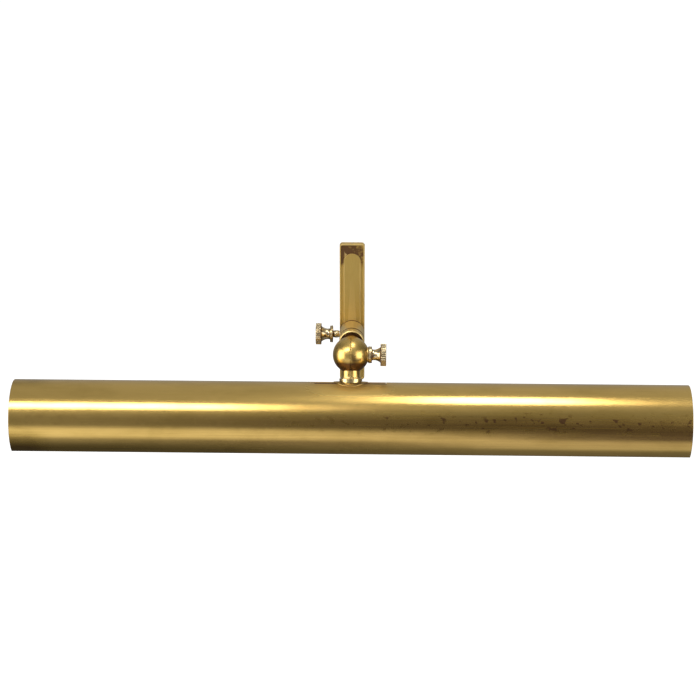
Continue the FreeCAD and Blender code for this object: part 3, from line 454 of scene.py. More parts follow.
def make_materials():
    brass(
        "shade_brass", brush=(9.0, 900.0, 900.0), patina=0.34, rough=(0.16, 0.24),
        masks=shade_stains_and_painted_shade, soft=crown_soft
    )
    brass(
        "plate_brass", brush=(700.0, 700.0, 40.0), patina=0.22, rough=(0.48, 0.60), wear_and_sheen=0.7,
        lacquer=0.0, masks=plate_tarnish, gold=(0.60, 0.435, 0.13), metal=0.8, relief=0.5,
        painted_highlights=plate_painted_highlights
    )
    brass(
        "boss_brass", brush=(420.0, 60.0, 420.0), patina=0.16, rough=(0.36, 0.48), wear_and_sheen=0.7,
        masks=boss_groove_patina_and_mouth_shade, gold=(0.74, 0.55, 0.22), metal=0.8, relief=0.4
    )
    brass(
        "fitting_brass", brush=(260.0, 420.0, 420.0), patina=0.20, rough=(0.25, 0.36), wear_and_sheen=0.35,
        lacquer=0.15, masks=ball_darker_low, relief=0.4
    )
    brass(
        "collar_brass", brush=(300.0, 300.0, 80.0), patina=0.14, rough=(0.22, 0.32), wear_and_sheen=0.5,
        lacquer=0.2, gold=(0.84, 0.66, 0.32), relief=0.3
    )
    brass(
        "saddle_brass", brush=(300.0, 300.0, 300.0), patina=0.5, rough=(0.30, 0.42), wear_and_sheen=0.2,
        gold=(0.55, 0.38, 0.14)
    )
    # Silvery pale edges: wear and painted sheen, most on the fluted heads.
    brass(
        "knob_brass", brush=(60.0, 420.0, 420.0), patina=0.14, rough=(0.20, 0.30), wear_and_sheen=0.6,
        lacquer=0.05, masks=knob_corner_dirt_and_shade, gold=(0.72, 0.59, 0.36), pale=(0.80, 0.77, 0.70),
        pitted=0.0, relief=0.12
    )
    # Near black: the bush's bronze with painted shade, as it sits deep in the boss's mouth.
    plain_metal(
        "bush_bronze", (0.16, 0.09, 0.045), (0.05, 0.03, 0.018), (0.3, 0.5), 90.0
    )
    plain_metal(
        "contact_brass", (0.80, 0.60, 0.27), (0.45, 0.30, 0.12), (0.2, 0.36), 120.0
    )
    plain_metal(
        "zinc_steel", (0.62, 0.63, 0.63), (0.34, 0.35, 0.36), (0.28, 0.48), 110.0
    )
    plain_metal(
        "lamp_cap", (0.70, 0.70, 0.69), (0.42, 0.41, 0.39), (0.2, 0.4), 150.0
    )
    plain_metal(
        "filament", (0.42, 0.41, 0.40), (0.22, 0.21, 0.20), (0.3, 0.5), 300.0
    )
    dull(
        "porcelain", (0.86, 0.84, 0.78), (0.74, 0.70, 0.62), (0.12, 0.3), 40.0, coat=0.6, grain=0.04
    )
    dull("rubber", (0.03, 0.03, 0.032), (0.012, 0.012, 0.012), (0.55, 0.75), 160.0)
    dull("fibre", (0.42, 0.13, 0.07), (0.24, 0.06, 0.03), (0.5, 0.7), 220.0)
    dull(
        "lead_sleeve", (0.66, 0.58, 0.42), (0.34, 0.27, 0.17), (0.6, 0.8), 150.0, weave=900.0, grain=0.5
    )
    glass()


# ---- mesh tools ----


def rounded(corners, closed=False, steps=4):
    """Polyline from (along, out, corner radius), each corner turned into a small curve."""
    count = len(corners)
    line = []
    for i, (a, b, radius) in enumerate(corners):
        here = Vector((a, b))
        is_end = not closed and i in (0, count - 1)
        if is_end or radius == 0:
            line.append(here)
            continue
        before = Vector(corners[i - 1][:2]) - here
        after = Vector(corners[(i + 1) % count][:2]) - here
        back = radius / math.tan(before.angle(after) / 2)
        back = min(back, 0.48 * before.length, 0.48 * after.length)
        start = here + back * before.normalized()
        stop = here + back * after.normalized()
        for step in range(steps + 1):
            t = step / steps
            line.append((1 - t) ** 2 * start + 2 * t * (1 - t) * here + t * t * stop)
    return line


def arc(centre, radius, start_deg, stop_deg, steps):
    """Points (along, out) of an arc, each with no further rounding."""
    points = []
    for step in range(steps + 1):
        turn = math.radians(start_deg + (stop_deg - start_deg) * step / steps)
        along = centre[0] + radius * math.cos(turn)
        out = centre[1] + radius * math.sin(turn)
        points.append((along, max(out, 0.0), 0.0))
    return points


def bridge(bm, a, b):
    """Faces between two rings of vertices; a ring of one vertex is a pole."""
    count = max(len(a), len(b))
    if count == 1:
        return
    for i in range(count):
        j = (i + 1) % count
        if len(a) == 1:
            bm.faces.new((a[0], b[j], b[i]))
        elif len(b) == 1:
            bm.faces.new((a[i], a[j], b[0]))
        else:
            bm.faces.new((a[i], a[j], b[j], b[i]))


def bridge_all(bm, rings, closed=False):
    """Faces along a whole row of rings; closed also joins the last to the first."""
    for a, b in zip(rings, rings[1:]):
        bridge(bm, a, b)
    if closed:
        bridge(bm, rings[-1], rings[0])


def lathe(path, segments=96, closed=False, shape=None):
    """Mesh turned about X. shape(along, radius, angle) gives the radius where it isn't round."""
    bm = bmesh.new()
    rings = []
    for along, radius in path:
        if radius < 1e-4:
            rings.append([bm.verts.new((along, 0, 0))])
            continue
        ring = []
        for segment in range(segments):
            turn = TURN * segment / segments
            here = radius if shape is None else shape(along, radius, turn)
            ring.append(bm.verts.new((along, here * math.cos(turn), here * math.sin(turn))))
        rings.append(ring)
    bridge_all(bm, rings, closed)
    return bm


def tube(points, radius, sides):
    """Round wire along a list of points, with flat ends."""
    bm = bmesh.new()
    rings = []
    across = None
    for i, point in enumerate(points):
        ahead = (points[min(i + 1, len(points) - 1)] - points[max(i - 1, 0)]).normalized()
        if across is None:
            across = ahead.orthogonal().normalized()
        across = (across - across.project(ahead)).normalized()
        up = ahead.cross(across)
        ring = []
        for side in range(sides):
            turn = TURN * side / sides
            ring.append(bm.verts.new(point + radius * (math.cos(turn) * across + math.sin(turn) * up)))
        rings.append(ring)
    bridge_all(bm, rings)
    bm.faces.new(rings[0][::-1])
    bm.faces.new(rings[-1])
    return bm


def joined(meshes):
    """One bmesh from several."""
    whole = meshes[0]
    for bm in meshes[1:]:
        spare = bpy.data.meshes.new("spare")
        bm.to_mesh(spare)
        bm.free()
        whole.from_mesh(spare)
        bpy.data.meshes.remove(spare)
    return whole


def prism(outline, low, high, axis):
    """Solid from a closed outline, pushed along X ("X") or Z ("Z")."""
    bm = bmesh.new()
    rings = []
    for level in (low, high):
        if axis == "X":
            rings.append([bm.verts.new((level, a, b)) for a, b in outline])
        else:
            rings.append([bm.verts.new((a, b, level)) for a, b in outline])
    bridge(bm, rings[0], rings[1])
    bm.faces.new(rings[0])
    bm.faces.new(rings[1])
    return bm


def rod(radius, low, high, segments=64):
    """Plain round bar along X."""
    return lathe([(low, 0.0), (low, radius), (high, radius), (high, 0.0)], segments)


def loose_object(name, bm, place):
    """Object from a bmesh drawn in millimetres, moved to its place."""
    bmesh.ops.transform(bm, matrix=Matrix.Scale(MM, 4) @ place, verts=bm.verts)
    bmesh.ops.recalc_face_normals(bm, faces=bm.faces)
    mesh = bpy.data.meshes.new(name)
    bm.to_mesh(mesh)
    bm.free()
    obj = bpy.data.objects.new(name, mesh)
    bpy.context.scene.collection.objects.link(obj)
    return obj


def bake(obj):
    """Turns the object's modifiers into its mesh."""
    bpy.context.view_layer.update()
    graph = bpy.context.evaluated_depsgraph_get()
    mesh = bpy.data.meshes.new_from_object(obj.evaluated_get(graph))
    mesh.name = obj.name
    obj.modifiers.clear()
    obj.data = mesh


def boolean(obj, bm, place, operation="DIFFERENCE"):
    """Cuts one solid out of an object, or adds it to it."""
    tool = loose_object("tool", bm, place)
    modifier = obj.modifiers.new("boolean", "BOOLEAN")
    modifier.operation = operation
    modifier.solver = "EXACT"
    modifier.object = tool
    bake(obj)
    bpy.data.objects.remove(tool)


def dress(obj, body, slot, nodes, sharp_deg=38.0, finish=None):
    """Smooth shading that stays true on flat faces, then the piece's body, finish and CAD nodes."""
    obj.data.shade_smooth()
    obj.data.set_sharp_from_angle(angle=math.radians(sharp_deg))
    modifier = obj.modifiers.new("normals", "WEIGHTED_NORMAL")
    modifier.keep_sharp = True
    obj.data.materials.clear()
    obj.data.materials.append(MATERIALS[finish or slot])
    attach(obj, body)
    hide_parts(*nodes)


def piece(name, bm, place, body, slot, nodes, sharp_deg=38.0, finish=None):
    """A finished piece straight from its bmesh."""
    dress(loose_object(name, bm, place), body, slot, nodes, sharp_deg, finish)


# ---- backplate ----


def rounded_rectangle(width, height, corner, steps=14):
    """Points (x, z) round a rectangle whose corners are quarter circles."""
    corner = min(corner, 0.49 * width, 0.49 * height)
    points = []
    for quarter in range(4):
        mid = math.pi / 4 + quarter * math.pi / 2
        cx = math.copysign(width / 2 - corner, math.cos(mid))
        cz = math.copysign(height / 2 - corner, math.sin(mid))
        for step in range(steps + 1):
            turn = (quarter + step / steps) * math.pi / 2
            points.append((cx + corner * math.cos(turn), cz + corner * math.sin(turn)))
    return points


def backplate():
    """Shallow tray open at the back; its front has a round-edged rim, a sunk field and a raised,
    arch-ended panel."""
    width = PLATE_HIGH.x - PLATE_LOW.x
    height = PLATE_HIGH.z - PLATE_LOW.z
    corner = 2.8
    wall = 1.6
    skin_back = PLATE_FRONT + 1.8
    rim = 1.15
    field = PLATE_FRONT + FIELD_DEPTH
    margin = 0.6
    profile = [(wall, skin_back, 0.0), (wall, 0.0, 0.15), (0.0, 0.0, 0.15), (0.0, PLATE_FRONT, 1.0)]
    profile = profile + [(rim, PLATE_FRONT, 0.14), (rim + 0.3, field, 0.2), (rim + 0.9, field, 0.0)]
    panel = [(-margin, field, 0.0), (-0.25, field, 0.2)]
    panel = panel + [(0.05, PLATE_FRONT, 0.14), (0.7, PLATE_FRONT, 0.0)]
    bm = bmesh.new()
    rings = []
    for inset, y in rounded(profile, steps=5):
        corner_here = max(corner - inset, 0.5)
        outline = rounded_rectangle(width - 2 * inset, height - 2 * inset, corner_here)
        rings.append([bm.verts.new((x, y, z)) for x, z in outline])
    outer = outline
    inner = rounded_rectangle(PANEL_WIDTH + 2 * margin, PANEL_HEIGHT + 2 * margin, PANEL_WIDTH)
    for share in (0.25, 0.5, 0.75):
        ring = []
        for (x0, z0), (x1, z1) in zip(outer, inner):
            x = x0 + share * (x1 - x0)
            ring.append(bm.verts.new((x, field, z0 + share * (z1 - z0))))
        rings.append(ring)
    for inset, y in rounded(panel, steps=5):
        outline = rounded_rectangle(PANEL_WIDTH - 2 * inset, PANEL_HEIGHT - 2 * inset, PANEL_WIDTH)
        rings.append([bm.verts.new((x, y, z)) for x, z in outline])
    bridge_all(bm, rings)
    bm.faces.new(rings[0])
    bm.faces.new(rings[-1])
    obj = loose_object("backplate_body", bm, Matrix.Identity(4))
    wire_hole = 4.2
    screw_hole = 1.3
    screw_pitch = 9.4
    grub_hole = 1.0
    grub_y = -1.7
    boolean(obj, rod(wire_hole, PLATE_FRONT - 1, 0.0), BOSS_LINE)
    for side in (-1, 1):
        place = Matrix.Translation((0, 0, BOSS.z + side * screw_pitch)) @ ALONG_Y
        boolean(obj, rod(screw_hole, PLATE_FRONT - 1, 0.0, 32), place)
        end = Matrix.Translation((0, grub_y, side * height / 2)) @ ALONG_Z
        boolean(obj, rod(grub_hole, -3.0, 3.0, 32), end)
    dress(obj, "mount", "plate_brass", ["backplate"])


# ---- boss ----


def boss():
    """Foot, thin groove, plain barrel and the tenon that the front ring is screwed on."""
    radius = BOSS_RADIUS
    tenon = 9.5
    bore = 7.7
    back = BOSS_RING_HIGH.y
    front = BOSS_RING_LOW.y
    foot = PLATE_FRONT - BOSS_FOOT
    barrel = foot - BOSS_GROOVE
    shoulder = back + BOSS_GROOVE
    corners = [
        (PLATE_FRONT, bore + 0.2, 0.0), (PLATE_FRONT, radius, 0.1), (foot, radius, 0.18),
        (foot, radius - 0.6, 0.05), (barrel, radius - 0.6, 0.05), (barrel, radius, 0.18),
        (shoulder, radius, 0.18), (shoulder, tenon, 0.05), (front + 2.0, tenon, 0.2),
        (front + 2.0, bore, 0.1),
    ]
    bm = lathe(rounded(corners, True), 128, True)
    piece("boss_barrel", bm, BOSS_LINE, "mount", "fitting_brass", ["swivel_boss"], finish="boss_brass")
    thread = tenon + 0.05
    corners = [
        (back, thread, 0.1), (back, radius, 0.18), (front + 0.8, radius, 0.3),
        (front, radius - 0.8, 0.15), (front, radius - 1.1, 0.15), (front + 1.6, thread, 0.2),
    ]
    bm = lathe(rounded(corners, True), 128, True)
    piece("boss_front_ring", bm, BOSS_LINE, "mount", "fitting_brass", ["boss_end_ring"], finish="boss_brass")


def bush():
    """Flanged bush in the boss's mouth."""
    low, high = node_box("swivel_bush")
    bore = 6.1
    outer = 7.6
    flange = 8.2
    shoulder = low.y + 1.0
    corners = [
        (low.y, bore, 0.2), (low.y, flange, 0.25), (shoulder, flange, 0.1), (shoulder, outer, 0.05),
        (high.y, outer, 0.1), (high.y, bore, 0.1),
    ]
    bm = lathe(rounded(corners, True), 96, True)
    piece("boss_bush", bm, BOSS_LINE, "mount", "bush_bronze", ["swivel_bush"])


# ---- thumb-screws ----


def thumb_knob(start, stem, collar, waist, head, bore):
    """Barrel stem, disc collar, hollow waist and fluted head, growing along +X.
    stem, collar, waist and head are (length, radius)."""
    flutes = 36
    bore_depth = 8.0
    break_edge = 0.4
    x = start
    corners = [(x + bore_depth, bore, 0.0), (x, bore, 0.1)]
    if stem[0] > 0:
        corners.append((x, stem[1] - break_edge, 0.15))
        bow = 6
        for step in range(1, bow):
            swell = 0.5 * math.sin(math.pi * step / bow)
            corners.append((x + stem[0] * step / bow, stem[1] - break_edge + swell, 0.4))
        x = x + stem[0]
        corners.append((x, stem[1] - break_edge, 0.1))
    corners.append((x, collar[1], 0.45))
    x = x + collar[0] / 2
    corners.append((x - 0.25, collar[1], 0.2))
    corners.append((x, collar[1] - 0.35, 0.12))
    corners.append((x + 0.25, collar[1] - 0.1, 0.2))
    x = x + collar[0] / 2
    corners.append((x, collar[1] - 0.2, 0.4))
    steps = 14
    for step in range(steps + 1):
        t = step / steps
        corners.append((x + waist[0] * t, waist[1] + 0.25 - 2.08 * t + 4.13 * t * t, 0.3))
    x = x + waist[0]
    corners.append((x, head[1], 0.5))
    rim_start = x
    x = x + head[0]
    corners.append((x, head[1], 0.75))
    corners.append((x, head[1] - 2.2, 0.25))
    corners.append((x - 0.45, head[1] - 2.6, 0.25))
    corners.append((x - 0.45, 0.0, 0.0))
    line = rounded(corners, steps=4)
    line.insert(0, Vector((start + bore_depth, 0.0)))
    flute_radius = 0.55
    flute_out = 0.22

    def fluted(along, radius, turn):
        if along < rim_start - 0.01 or radius < head[1] - 0.9:
            return radius
        phase = (turn * flutes / TURN) % 1.0
        near = min(phase, 1.0 - phase) * TURN * head[1] / flutes
        depth = max(0.0, math.sqrt(max(0.0, flute_radius ** 2 - near ** 2)) - flute_out)
        return min(radius, head[1] - depth)

    return lathe(line, flutes * 10, False, fluted)


def thumb_knobs():
    """The boss's thumb-screw, which points left, and the ball's, which points right."""
    start = BOSS_RADIUS + 0.3
    bm = thumb_knob(start, stem=(5.8, 3.4), collar=(2.7, 7.9), waist=(8.0, 4.95), head=(5.2, 9.9), bore=2.5)
    place = Matrix.Translation((0, SWIVEL_SCREW.y, SWIVEL_SCREW.z)) @ HALF_TURN
    piece("swivel_knob_turned", bm, place, "swivel_knob", "knob_brass", ["swivel_knob_head"], 30.0)
    start = node_box("tilt_knob_head")[0].x
    bm = thumb_knob(start, stem=(0.0, 0.0), collar=(3.3, 7.7), waist=(7.7, 4.85), head=(5.3, 10.2), bore=3.0)
    piece("tilt_knob_turned", bm, HEAD, "tilt_knob", "knob_brass", ["tilt_knob_head"], 30.0)


# ---- ball and neck ----


def ball_half(side):
    """Half of the hollow ball with its half of the neck, side -1 the left and 1 the right. Its
    joint face lies beside the plane X = 0, and a slot lets the eye's stem swing."""
    cheek = 3.6
    hollow = 12.5
    if side < 0:
        far = [*arc((0, 0), BALL_RADIUS, 89.3, 0.0, 60)]
    else:
        flat = 14.7
        last = math.degrees(math.acos(flat / BALL_RADIUS))
        far = [*arc((0, 0), BALL_RADIUS, 89.3, last, 42), (flat, 0.0, 0.0)]
    far[0] = (HALF_SEAM, BALL_RADIUS, 0.35)
    corners = [(cheek, 0.0, 0.0), (cheek, hollow, 0.0), (HALF_SEAM, hollow, 0.1), *far]
    bm = lathe(rounded(corners, steps=4), 160)
    flip = Matrix.Scale(side, 4, (1, 0, 0))
    name = "ball_left" if side < 0 else "ball_right"
    obj = loose_object(name, bm, HEAD @ flip)
    outline = [(HALF_SEAM, -NECK_RADIUS, 0.3)]
    steps = 40
    first = -90 + math.degrees(HALF_SEAM / NECK_RADIUS)
    for step in range(1, steps):
        turn = math.radians(first + (-2 * first) * step / steps)
        outline.append((NECK_RADIUS * math.cos(turn), NECK_RADIUS * math.sin(turn), 0.0))
    outline.append((HALF_SEAM, NECK_RADIUS, 0.3))
    neck_top = -11.0
    bm = prism(rounded(outline, True), NECK_BOTTOM, neck_top, "Z")
    boolean(obj, bm, HEAD @ flip, "UNION")
    half = 4.4
    reach = BALL_RADIUS + 2
    tilt_back = 30
    tilt_up = 45
    low = math.degrees(LEAN) - tilt_back
    high = math.degrees(LEAN) + tilt_up
    for degrees in (low, high):
        way = Matrix.Rotation(math.radians(degrees), 4, "X") @ ALONG_Y
        boolean(obj, rod(half, 0.0, reach, 48), HEAD @ way)
    fan = [(0.0, 0.0)]
    for step in range(9):
        turn = math.radians(low + (high - low) * step / 8)
        fan.append((reach * math.cos(turn), reach * math.sin(turn)))
    boolean(obj, prism(fan, -half, half, "X"), HEAD)
    boolean(obj, rod(NIPPLE_RADIUS, NECK_BOTTOM - 1, -8.0, 48), HEAD @ ALONG_Z)
    node = "ball_half_left" if side < 0 else "ball_half_right"
    dress(obj, "head", "fitting_brass", [node], 32.0)


def saddle_height(radius, y):
    """Height of a cylinder about the shade's axis, at a place across it."""
    return AXIS_Z + math.sqrt(radius ** 2 - y ** 2)


def ring_about_z(bm, radius, segments, height):
    """Ring of vertices about Z, each at height(its place across the shade)."""
    ring = []
    for segment in range(segments):
        turn = TURN * segment / segments
        y = radius * math.sin(turn)
        ring.append(bm.verts.new((radius * math.cos(turn), y, height(y))))
    return ring


def neck_collar():
    """Turned collar under the neck: small ogee, bead and a foot that sits on the saddle."""
    top = NECK_BOTTOM
    outer = COLLAR_RADIUS
    corners = [
        (top, NIPPLE_RADIUS, 0.0), (top, NECK_RADIUS + 0.75, 0.25), (top - 0.5, NECK_RADIUS + 0.85, 0.1),
        (top - 0.8, NECK_RADIUS + 0.5, 0.3), (top - 1.3, NECK_RADIUS + 1.0, 0.3),
        (top - 1.5, outer, 0.4), (top - 2.6, outer, 0.4),
    ]
    segments = 128
    bm = bmesh.new()
    rings = []
    for z, radius in rounded(corners, steps=5):
        rings.append(ring_about_z(bm, radius, segments, lambda y: z))
    foot = SHADE_RADIUS + 0.75
    for inset, lift in ((0.1, 0.15), (0.3, 0.0), (outer - NIPPLE_RADIUS, 0.0)):
        rings.append(ring_about_z(bm, outer - inset, segments, lambda y: saddle_height(foot, y) + lift))
    bridge_all(bm, rings, True)
    piece("collar_turned", bm, HEAD, "head", "fitting_brass", ["neck_collar"], 32.0, "collar_brass")


def saddle_washer():
    """Dished disc between the collar and the shade's crown, with a rolled edge."""
    under = SHADE_RADIUS + 0.02
    thickness = 0.66
    edge = SADDLE_RADIUS
    corners = [
        (NIPPLE_RADIUS, 0.0, 0.0), (edge, 0.0, 0.1), (edge, 0.40, 0.15), (edge - 0.7, 0.55, 0.2),
        (edge - 1.2, 0.42, 0.2), (edge - 2.4, thickness, 0.4), (NIPPLE_RADIUS, thickness, 0.0),
    ]
    bm = bmesh.new()
    rings = []
    for radius, thick in rounded(corners, steps=5):
        rings.append(ring_about_z(bm, radius, 144, lambda y: saddle_height(under + thick, y)))
    bridge_all(bm, rings, True)
    piece("saddle_dished", bm, HEAD, "head", "fitting_brass", ["saddle_washer"], 32.0, "saddle_brass")


# ---- shade ----


def spread(stops, step):
    """Values from the first stop to the last that hit every stop, about a step apart."""
    values = [stops[0]]
    for a, b in zip(stops, stops[1:]):
        count = max(1, round((b - a) / step))
        values.extend(a + (b - a) * (i + 1) / count for i in range(count))
    return values


def curved_grid(angles, lengths, is_open=None):
    """Sheet about the shade's axis: angles in degrees (0 ahead of the neck, 90 the crown).
    is_open says whether the face about a place (along, angle) is left out."""
    bm = bmesh.new()
    rows = []
    for x in lengths:
        row = []
        for degrees in angles:
            turn = math.radians(degrees)
            y = -SHADE_RADIUS * math.cos(turn)
            row.append(bm.verts.new((x, y, AXIS_Z + SHADE_RADIUS * math.sin(turn))))
        rows.append(row)
    for i in range(len(lengths) - 1):
        for j in range(len(angles) - 1):
            middle = Vector(((lengths[i] + lengths[i + 1]) / 2, (angles[j] + angles[j + 1]) / 2))
            if is_open is None or not is_open(middle):
                bm.faces.new((rows[i][j], rows[i][j + 1], rows[i + 1][j + 1], rows[i + 1][j]))
    loose = [v for v in bm.verts if not v.link_faces]
    bmesh.ops.delete(bm, geom=loose, context="VERTS")
    return bm


def thicken(obj, thickness, edge):
    """Gives a sheet its wall, inwards, and breaks its edges."""
    solid = obj.modifiers.new("wall", "SOLIDIFY")
    solid.thickness = thickness * MM
    solid.offset = -1.0
    solid.use_even_offset = True
    bevel = obj.modifiers.new("edges", "BEVEL")
    bevel.width = edge * MM
    bevel.segments = 3
    bevel.limit_method = "ANGLE"
    bevel.angle_limit = math.radians(50)
    bake(obj)


def outward(obj):
    """Turns a sheet's faces so that they look away from the shade's axis."""
    centre = LAMP_AXIS * MM
    first = obj.data.polygons[0]
    away = first.center - centre
    away.x = 0.0
    if first.normal.dot(away) < 0:
        obj.data.flip_normals()


def shade():
    """Long tube, open below, with a window in its crown for the flush plate."""
    crown = math.degrees(math.asin(WINDOW_HALF.y / SHADE_RADIUS))
    angles = spread([LIP_FRONT_DEG, 90 - crown, 90 + crown, LIP_BACK_DEG], 1.25)
    lengths = spread([-SHADE_HALF, -WINDOW_HALF.x, WINDOW_HALF.x, SHADE_HALF], 22.0)

    def window(middle):
        return abs(middle.x) < WINDOW_HALF.x and abs(middle.y - 90) < crown

    obj = loose_object("shade_tube", curved_grid(angles, lengths, window), HEAD)
    outward(obj)
    thicken(obj, SHADE_WALL, 0.22)
    dress(obj, "head", "shade_brass", ["shade_shell"], 45.0)


def crown_plate():
    """Curved plate let into the shade's crown."""
    crown = math.degrees(math.asin(CROWN_HALF.y / SHADE_RADIUS))
    angles = spread([90 - crown, 90 + crown], 1.25)
    lengths = spread([-CROWN_HALF.x, CROWN_HALF.x], 4.0)
    obj = loose_object("crown_inlay", curved_grid(angles, lengths), HEAD)
    outward(obj)
    thicken(obj, SHADE_WALL, 0.3)
    boolean(obj, rod(NIPPLE_RADIUS, -40.0, 0.0, 48), HEAD @ ALONG_Z)
    dress(obj, "head", "shade_brass", ["crown_plate"], 45.0)


# ---- lamps ----


def both_sides(name, build, body, slot, node):
    """The right-hand piece, and the same piece turned half round for the left."""
    for side, turn in (("right", Matrix.Identity(4)), ("left", HALF_TURN)):
        owner = body if body == "head" else body + "_" + side
        piece(name + "_" + side, build(), LAMP @ turn, owner, slot, [node + "_" + side])


def holder_body():
    """Porcelain lampholder: a cup with a floor, a rolled mouth and a shallow groove round it."""
    back = 18.5
    front = back + 36.0
    floor_top = back + 6.0
    radius = 17.0
    bore = 13.9
    groove = radius - 0.6
    corners = [
        (floor_top, 0.0, 0.0), (floor_top, bore, 0.4), (front, bore, 0.9), (front, radius, 1.5),
        (back + 24.0, radius, 0.3), (back + 23.4, groove, 0.3), (back + 22.0, groove, 0.3),
        (back + 21.4, radius, 0.3), (back, radius, 1.6), (back, 0.0, 0.0),
    ]
    return lathe(rounded(corners, steps=5), 96)


def threaded(along, radius, turn):
    """Rounded screw thread rolled into the lamp cap."""
    start, stop = LAMP_THREAD
    pitch = 3.62
    depth = 0.9
    inner_skin = 11.9
    if along < start or along > stop or radius < inner_skin:
        return radius
    fade = min(1.0, (along - start) / pitch, (stop - along) / pitch)
    wave = 0.5 - 0.5 * math.cos(TURN * along / pitch - turn)
    return radius - depth * fade * wave


def lamp_cap():
    """Screw cap: contact and insulator behind, threaded skirt, plain collar and the hollow inside."""
    start, stop = LAMP_THREAD
    steps = 70
    skirt = [(start + (stop - start) * i / steps, 13.0, 0.0) for i in range(steps + 1)]
    corners = [
        (25.2, 0.0, 0.0), (25.2, 3.5, 0.5), (26.0, 4.6, 0.3), (27.0, 9.0, 0.5), (27.6, 11.4, 0.4),
        (28.4, 13.0, 0.3), *skirt, (47.6, 12.4, 0.2), (52.0, 12.4, 0.25), (52.0, 11.8, 0.1),
        (33.0, 11.8, 0.0), (33.0, 0.0, 0.0),
    ]
    return lathe(rounded(corners, steps=3), 72, False, threaded)


def lamp_glass():
    """Tubular envelope with a domed tip, its neck inside the cap."""
    radius = 16.0
    neck = 11.75
    wall = 0.8
    root = 37.0
    dome = 230.0 - radius
    outside = [(root, neck, 0.0), (55.5, neck, 4.0), (68.0, radius, 8.0), (dome, radius, 0.0)]
    outside = outside + arc((dome, 0.0), radius, 88.0, 0.0, 22)
    inside = arc((dome, 0.0), radius - wall, 0.0, 88.0, 22)
    inside = inside + [(dome, radius - wall, 0.0), (68.3, radius - wall, 8.0)]
    inside = inside + [(55.8, neck - wall, 4.0), (root, neck - wall, 0.0)]
    line = rounded(outside, steps=8) + rounded(inside, steps=8)
    return lathe(line, 96, True)


def lamp_filament():
    """Flared glass foot, support rod with hooks, and the long coiled wire they carry."""
    root = 67.0
    tip = 216.0
    height = 4.5
    corners = [
        (35.0, 0.0, 0.0), (35.0, 8.0, 0.5), (42.0, 4.0, 3.0), (root, 3.0, 1.5), (root + 1.5, 0.0, 0.0),
    ]
    meshes = [lathe(rounded(corners, steps=6), 40)]
    meshes.append(rod(0.6, root, tip, 12))
    turns = 92
    steps = 8
    coil_radius = 0.55
    coil = []
    for step in range(turns * steps + 1):
        turn = TURN * step / steps
        x = root + 5.0 + (tip - root - 8.0) * step / (turns * steps)
        coil.append(Vector((x, coil_radius * math.cos(turn), height + coil_radius * math.sin(turn))))
    meshes.append(tube(coil, 0.16, 5))
    hooks = 4
    hook_radius = 0.8
    for hook in range(hooks):
        x = root + 5.5 + hook * (tip - root - 9.0) / (hooks - 1)
        loop = [Vector((x, 0.0, 0.0)), Vector((x, 0.0, height - 0.9))]
        for step in range(9):
            turn = -math.pi / 2 + math.pi * 1.5 * step / 8
            loop.append(Vector((x, hook_radius * math.cos(turn), height + hook_radius * math.sin(turn))))
        meshes.append(tube(loop, 0.2, 6))
    return joined(meshes)


def lamps():
    both_sides("holder_porcelain", holder_body, "head", "porcelain", "lampholder")
    both_sides("lamp_cap", lamp_cap, "lamp", "lamp_cap", "lamp_base")
    both_sides("lamp_envelope", lamp_glass, "lamp", "lamp_glass", "lamp_glass")
    both_sides("lamp_coil", lamp_filament, "lamp", "filament", "lamp_filament")


# ---- finishes on the CAD nodes that stay ----


def finish_cad_nodes():
    for obj in frame["nodes"].values():
        for slot in obj.material_slots:
            name = slot.material.name.split(".")[0]
            slot.material = MATERIALS[name]


# ---- floor, light and camera ----


def floor():
    """Plain pale disc well below the object. It glows a little and is clear from underneath."""
    bm = bmesh.new()
    radius = 9000.0
    depth = 900.0
    bmesh.ops.create_circle(bm, cap_ends=True, radius=radius, segments=96)
    obj = loose_object("studio_floor", bm, Matrix.Translation((0, 0, -depth)))
    if obj.data.polygons[0].normal.z < 0:
        obj.data.flip_normals()
    tree = new_material("studio_floor")
    shader = tree.add("BsdfDiffuse", {"Color": (0.9, 0.9, 0.9, 1.0)})
    glow = tree.add("Emission", {"Color": (1.0, 1.0, 1.0, 1.0), "Strength": 0.75})
    lit = tree.add("AddShader", {0: shader.outputs[0], 1: glow.outputs[0]})
    clear = tree.add("BsdfTransparent", {})
    behind = tree.add("NewGeometry", {}).outputs["Backfacing"]
    both = tree.add("MixShader", {0: behind, 1: lit.outputs[0], 2: clear.outputs[0]})
    output = tree.add("OutputMaterial", {})
    tree.links.new(both.outputs[0], output.inputs["Surface"])
    obj.data.materials.append(MATERIALS["studio_floor"])
    obj.visible_glossy = False
    obj.visible_diffuse = False


# The room's shade of grey by angle in degrees up from the front horizon, on its left and right.
ROOM_LEFT = [
    (-180, grey(0.36)), (-120, grey(0.10)), (-84, grey(0.06)), (-64, grey(0.13)), (-50, grey(0.31)),
    (-20, grey(0.31)), (2, grey(0.30)), (22, grey(0.27)), (50, grey(0.42)), (90, grey(0.38)),
    (140, grey(0.44)), (180, grey(0.36)),
]
ROOM_RIGHT = [
    (-180, grey(0.36)), (-120, grey(0.14)), (-90, grey(0.20)), (-72, grey(0.23)),
    (-47, (0.10, 0.08, 0.10)), (-28, (0.08, 0.06, 0.08)), (0, (0.07, 0.052, 0.07)),
    (25, (0.10, 0.08, 0.10)), (45, grey(0.20)), (75, grey(0.42)), (140, grey(0.46)), (180, grey(0.36)),
]


def level(degrees):
    """An angle's place on the room's ramps."""
    return (degrees + 180.0) / 360.0


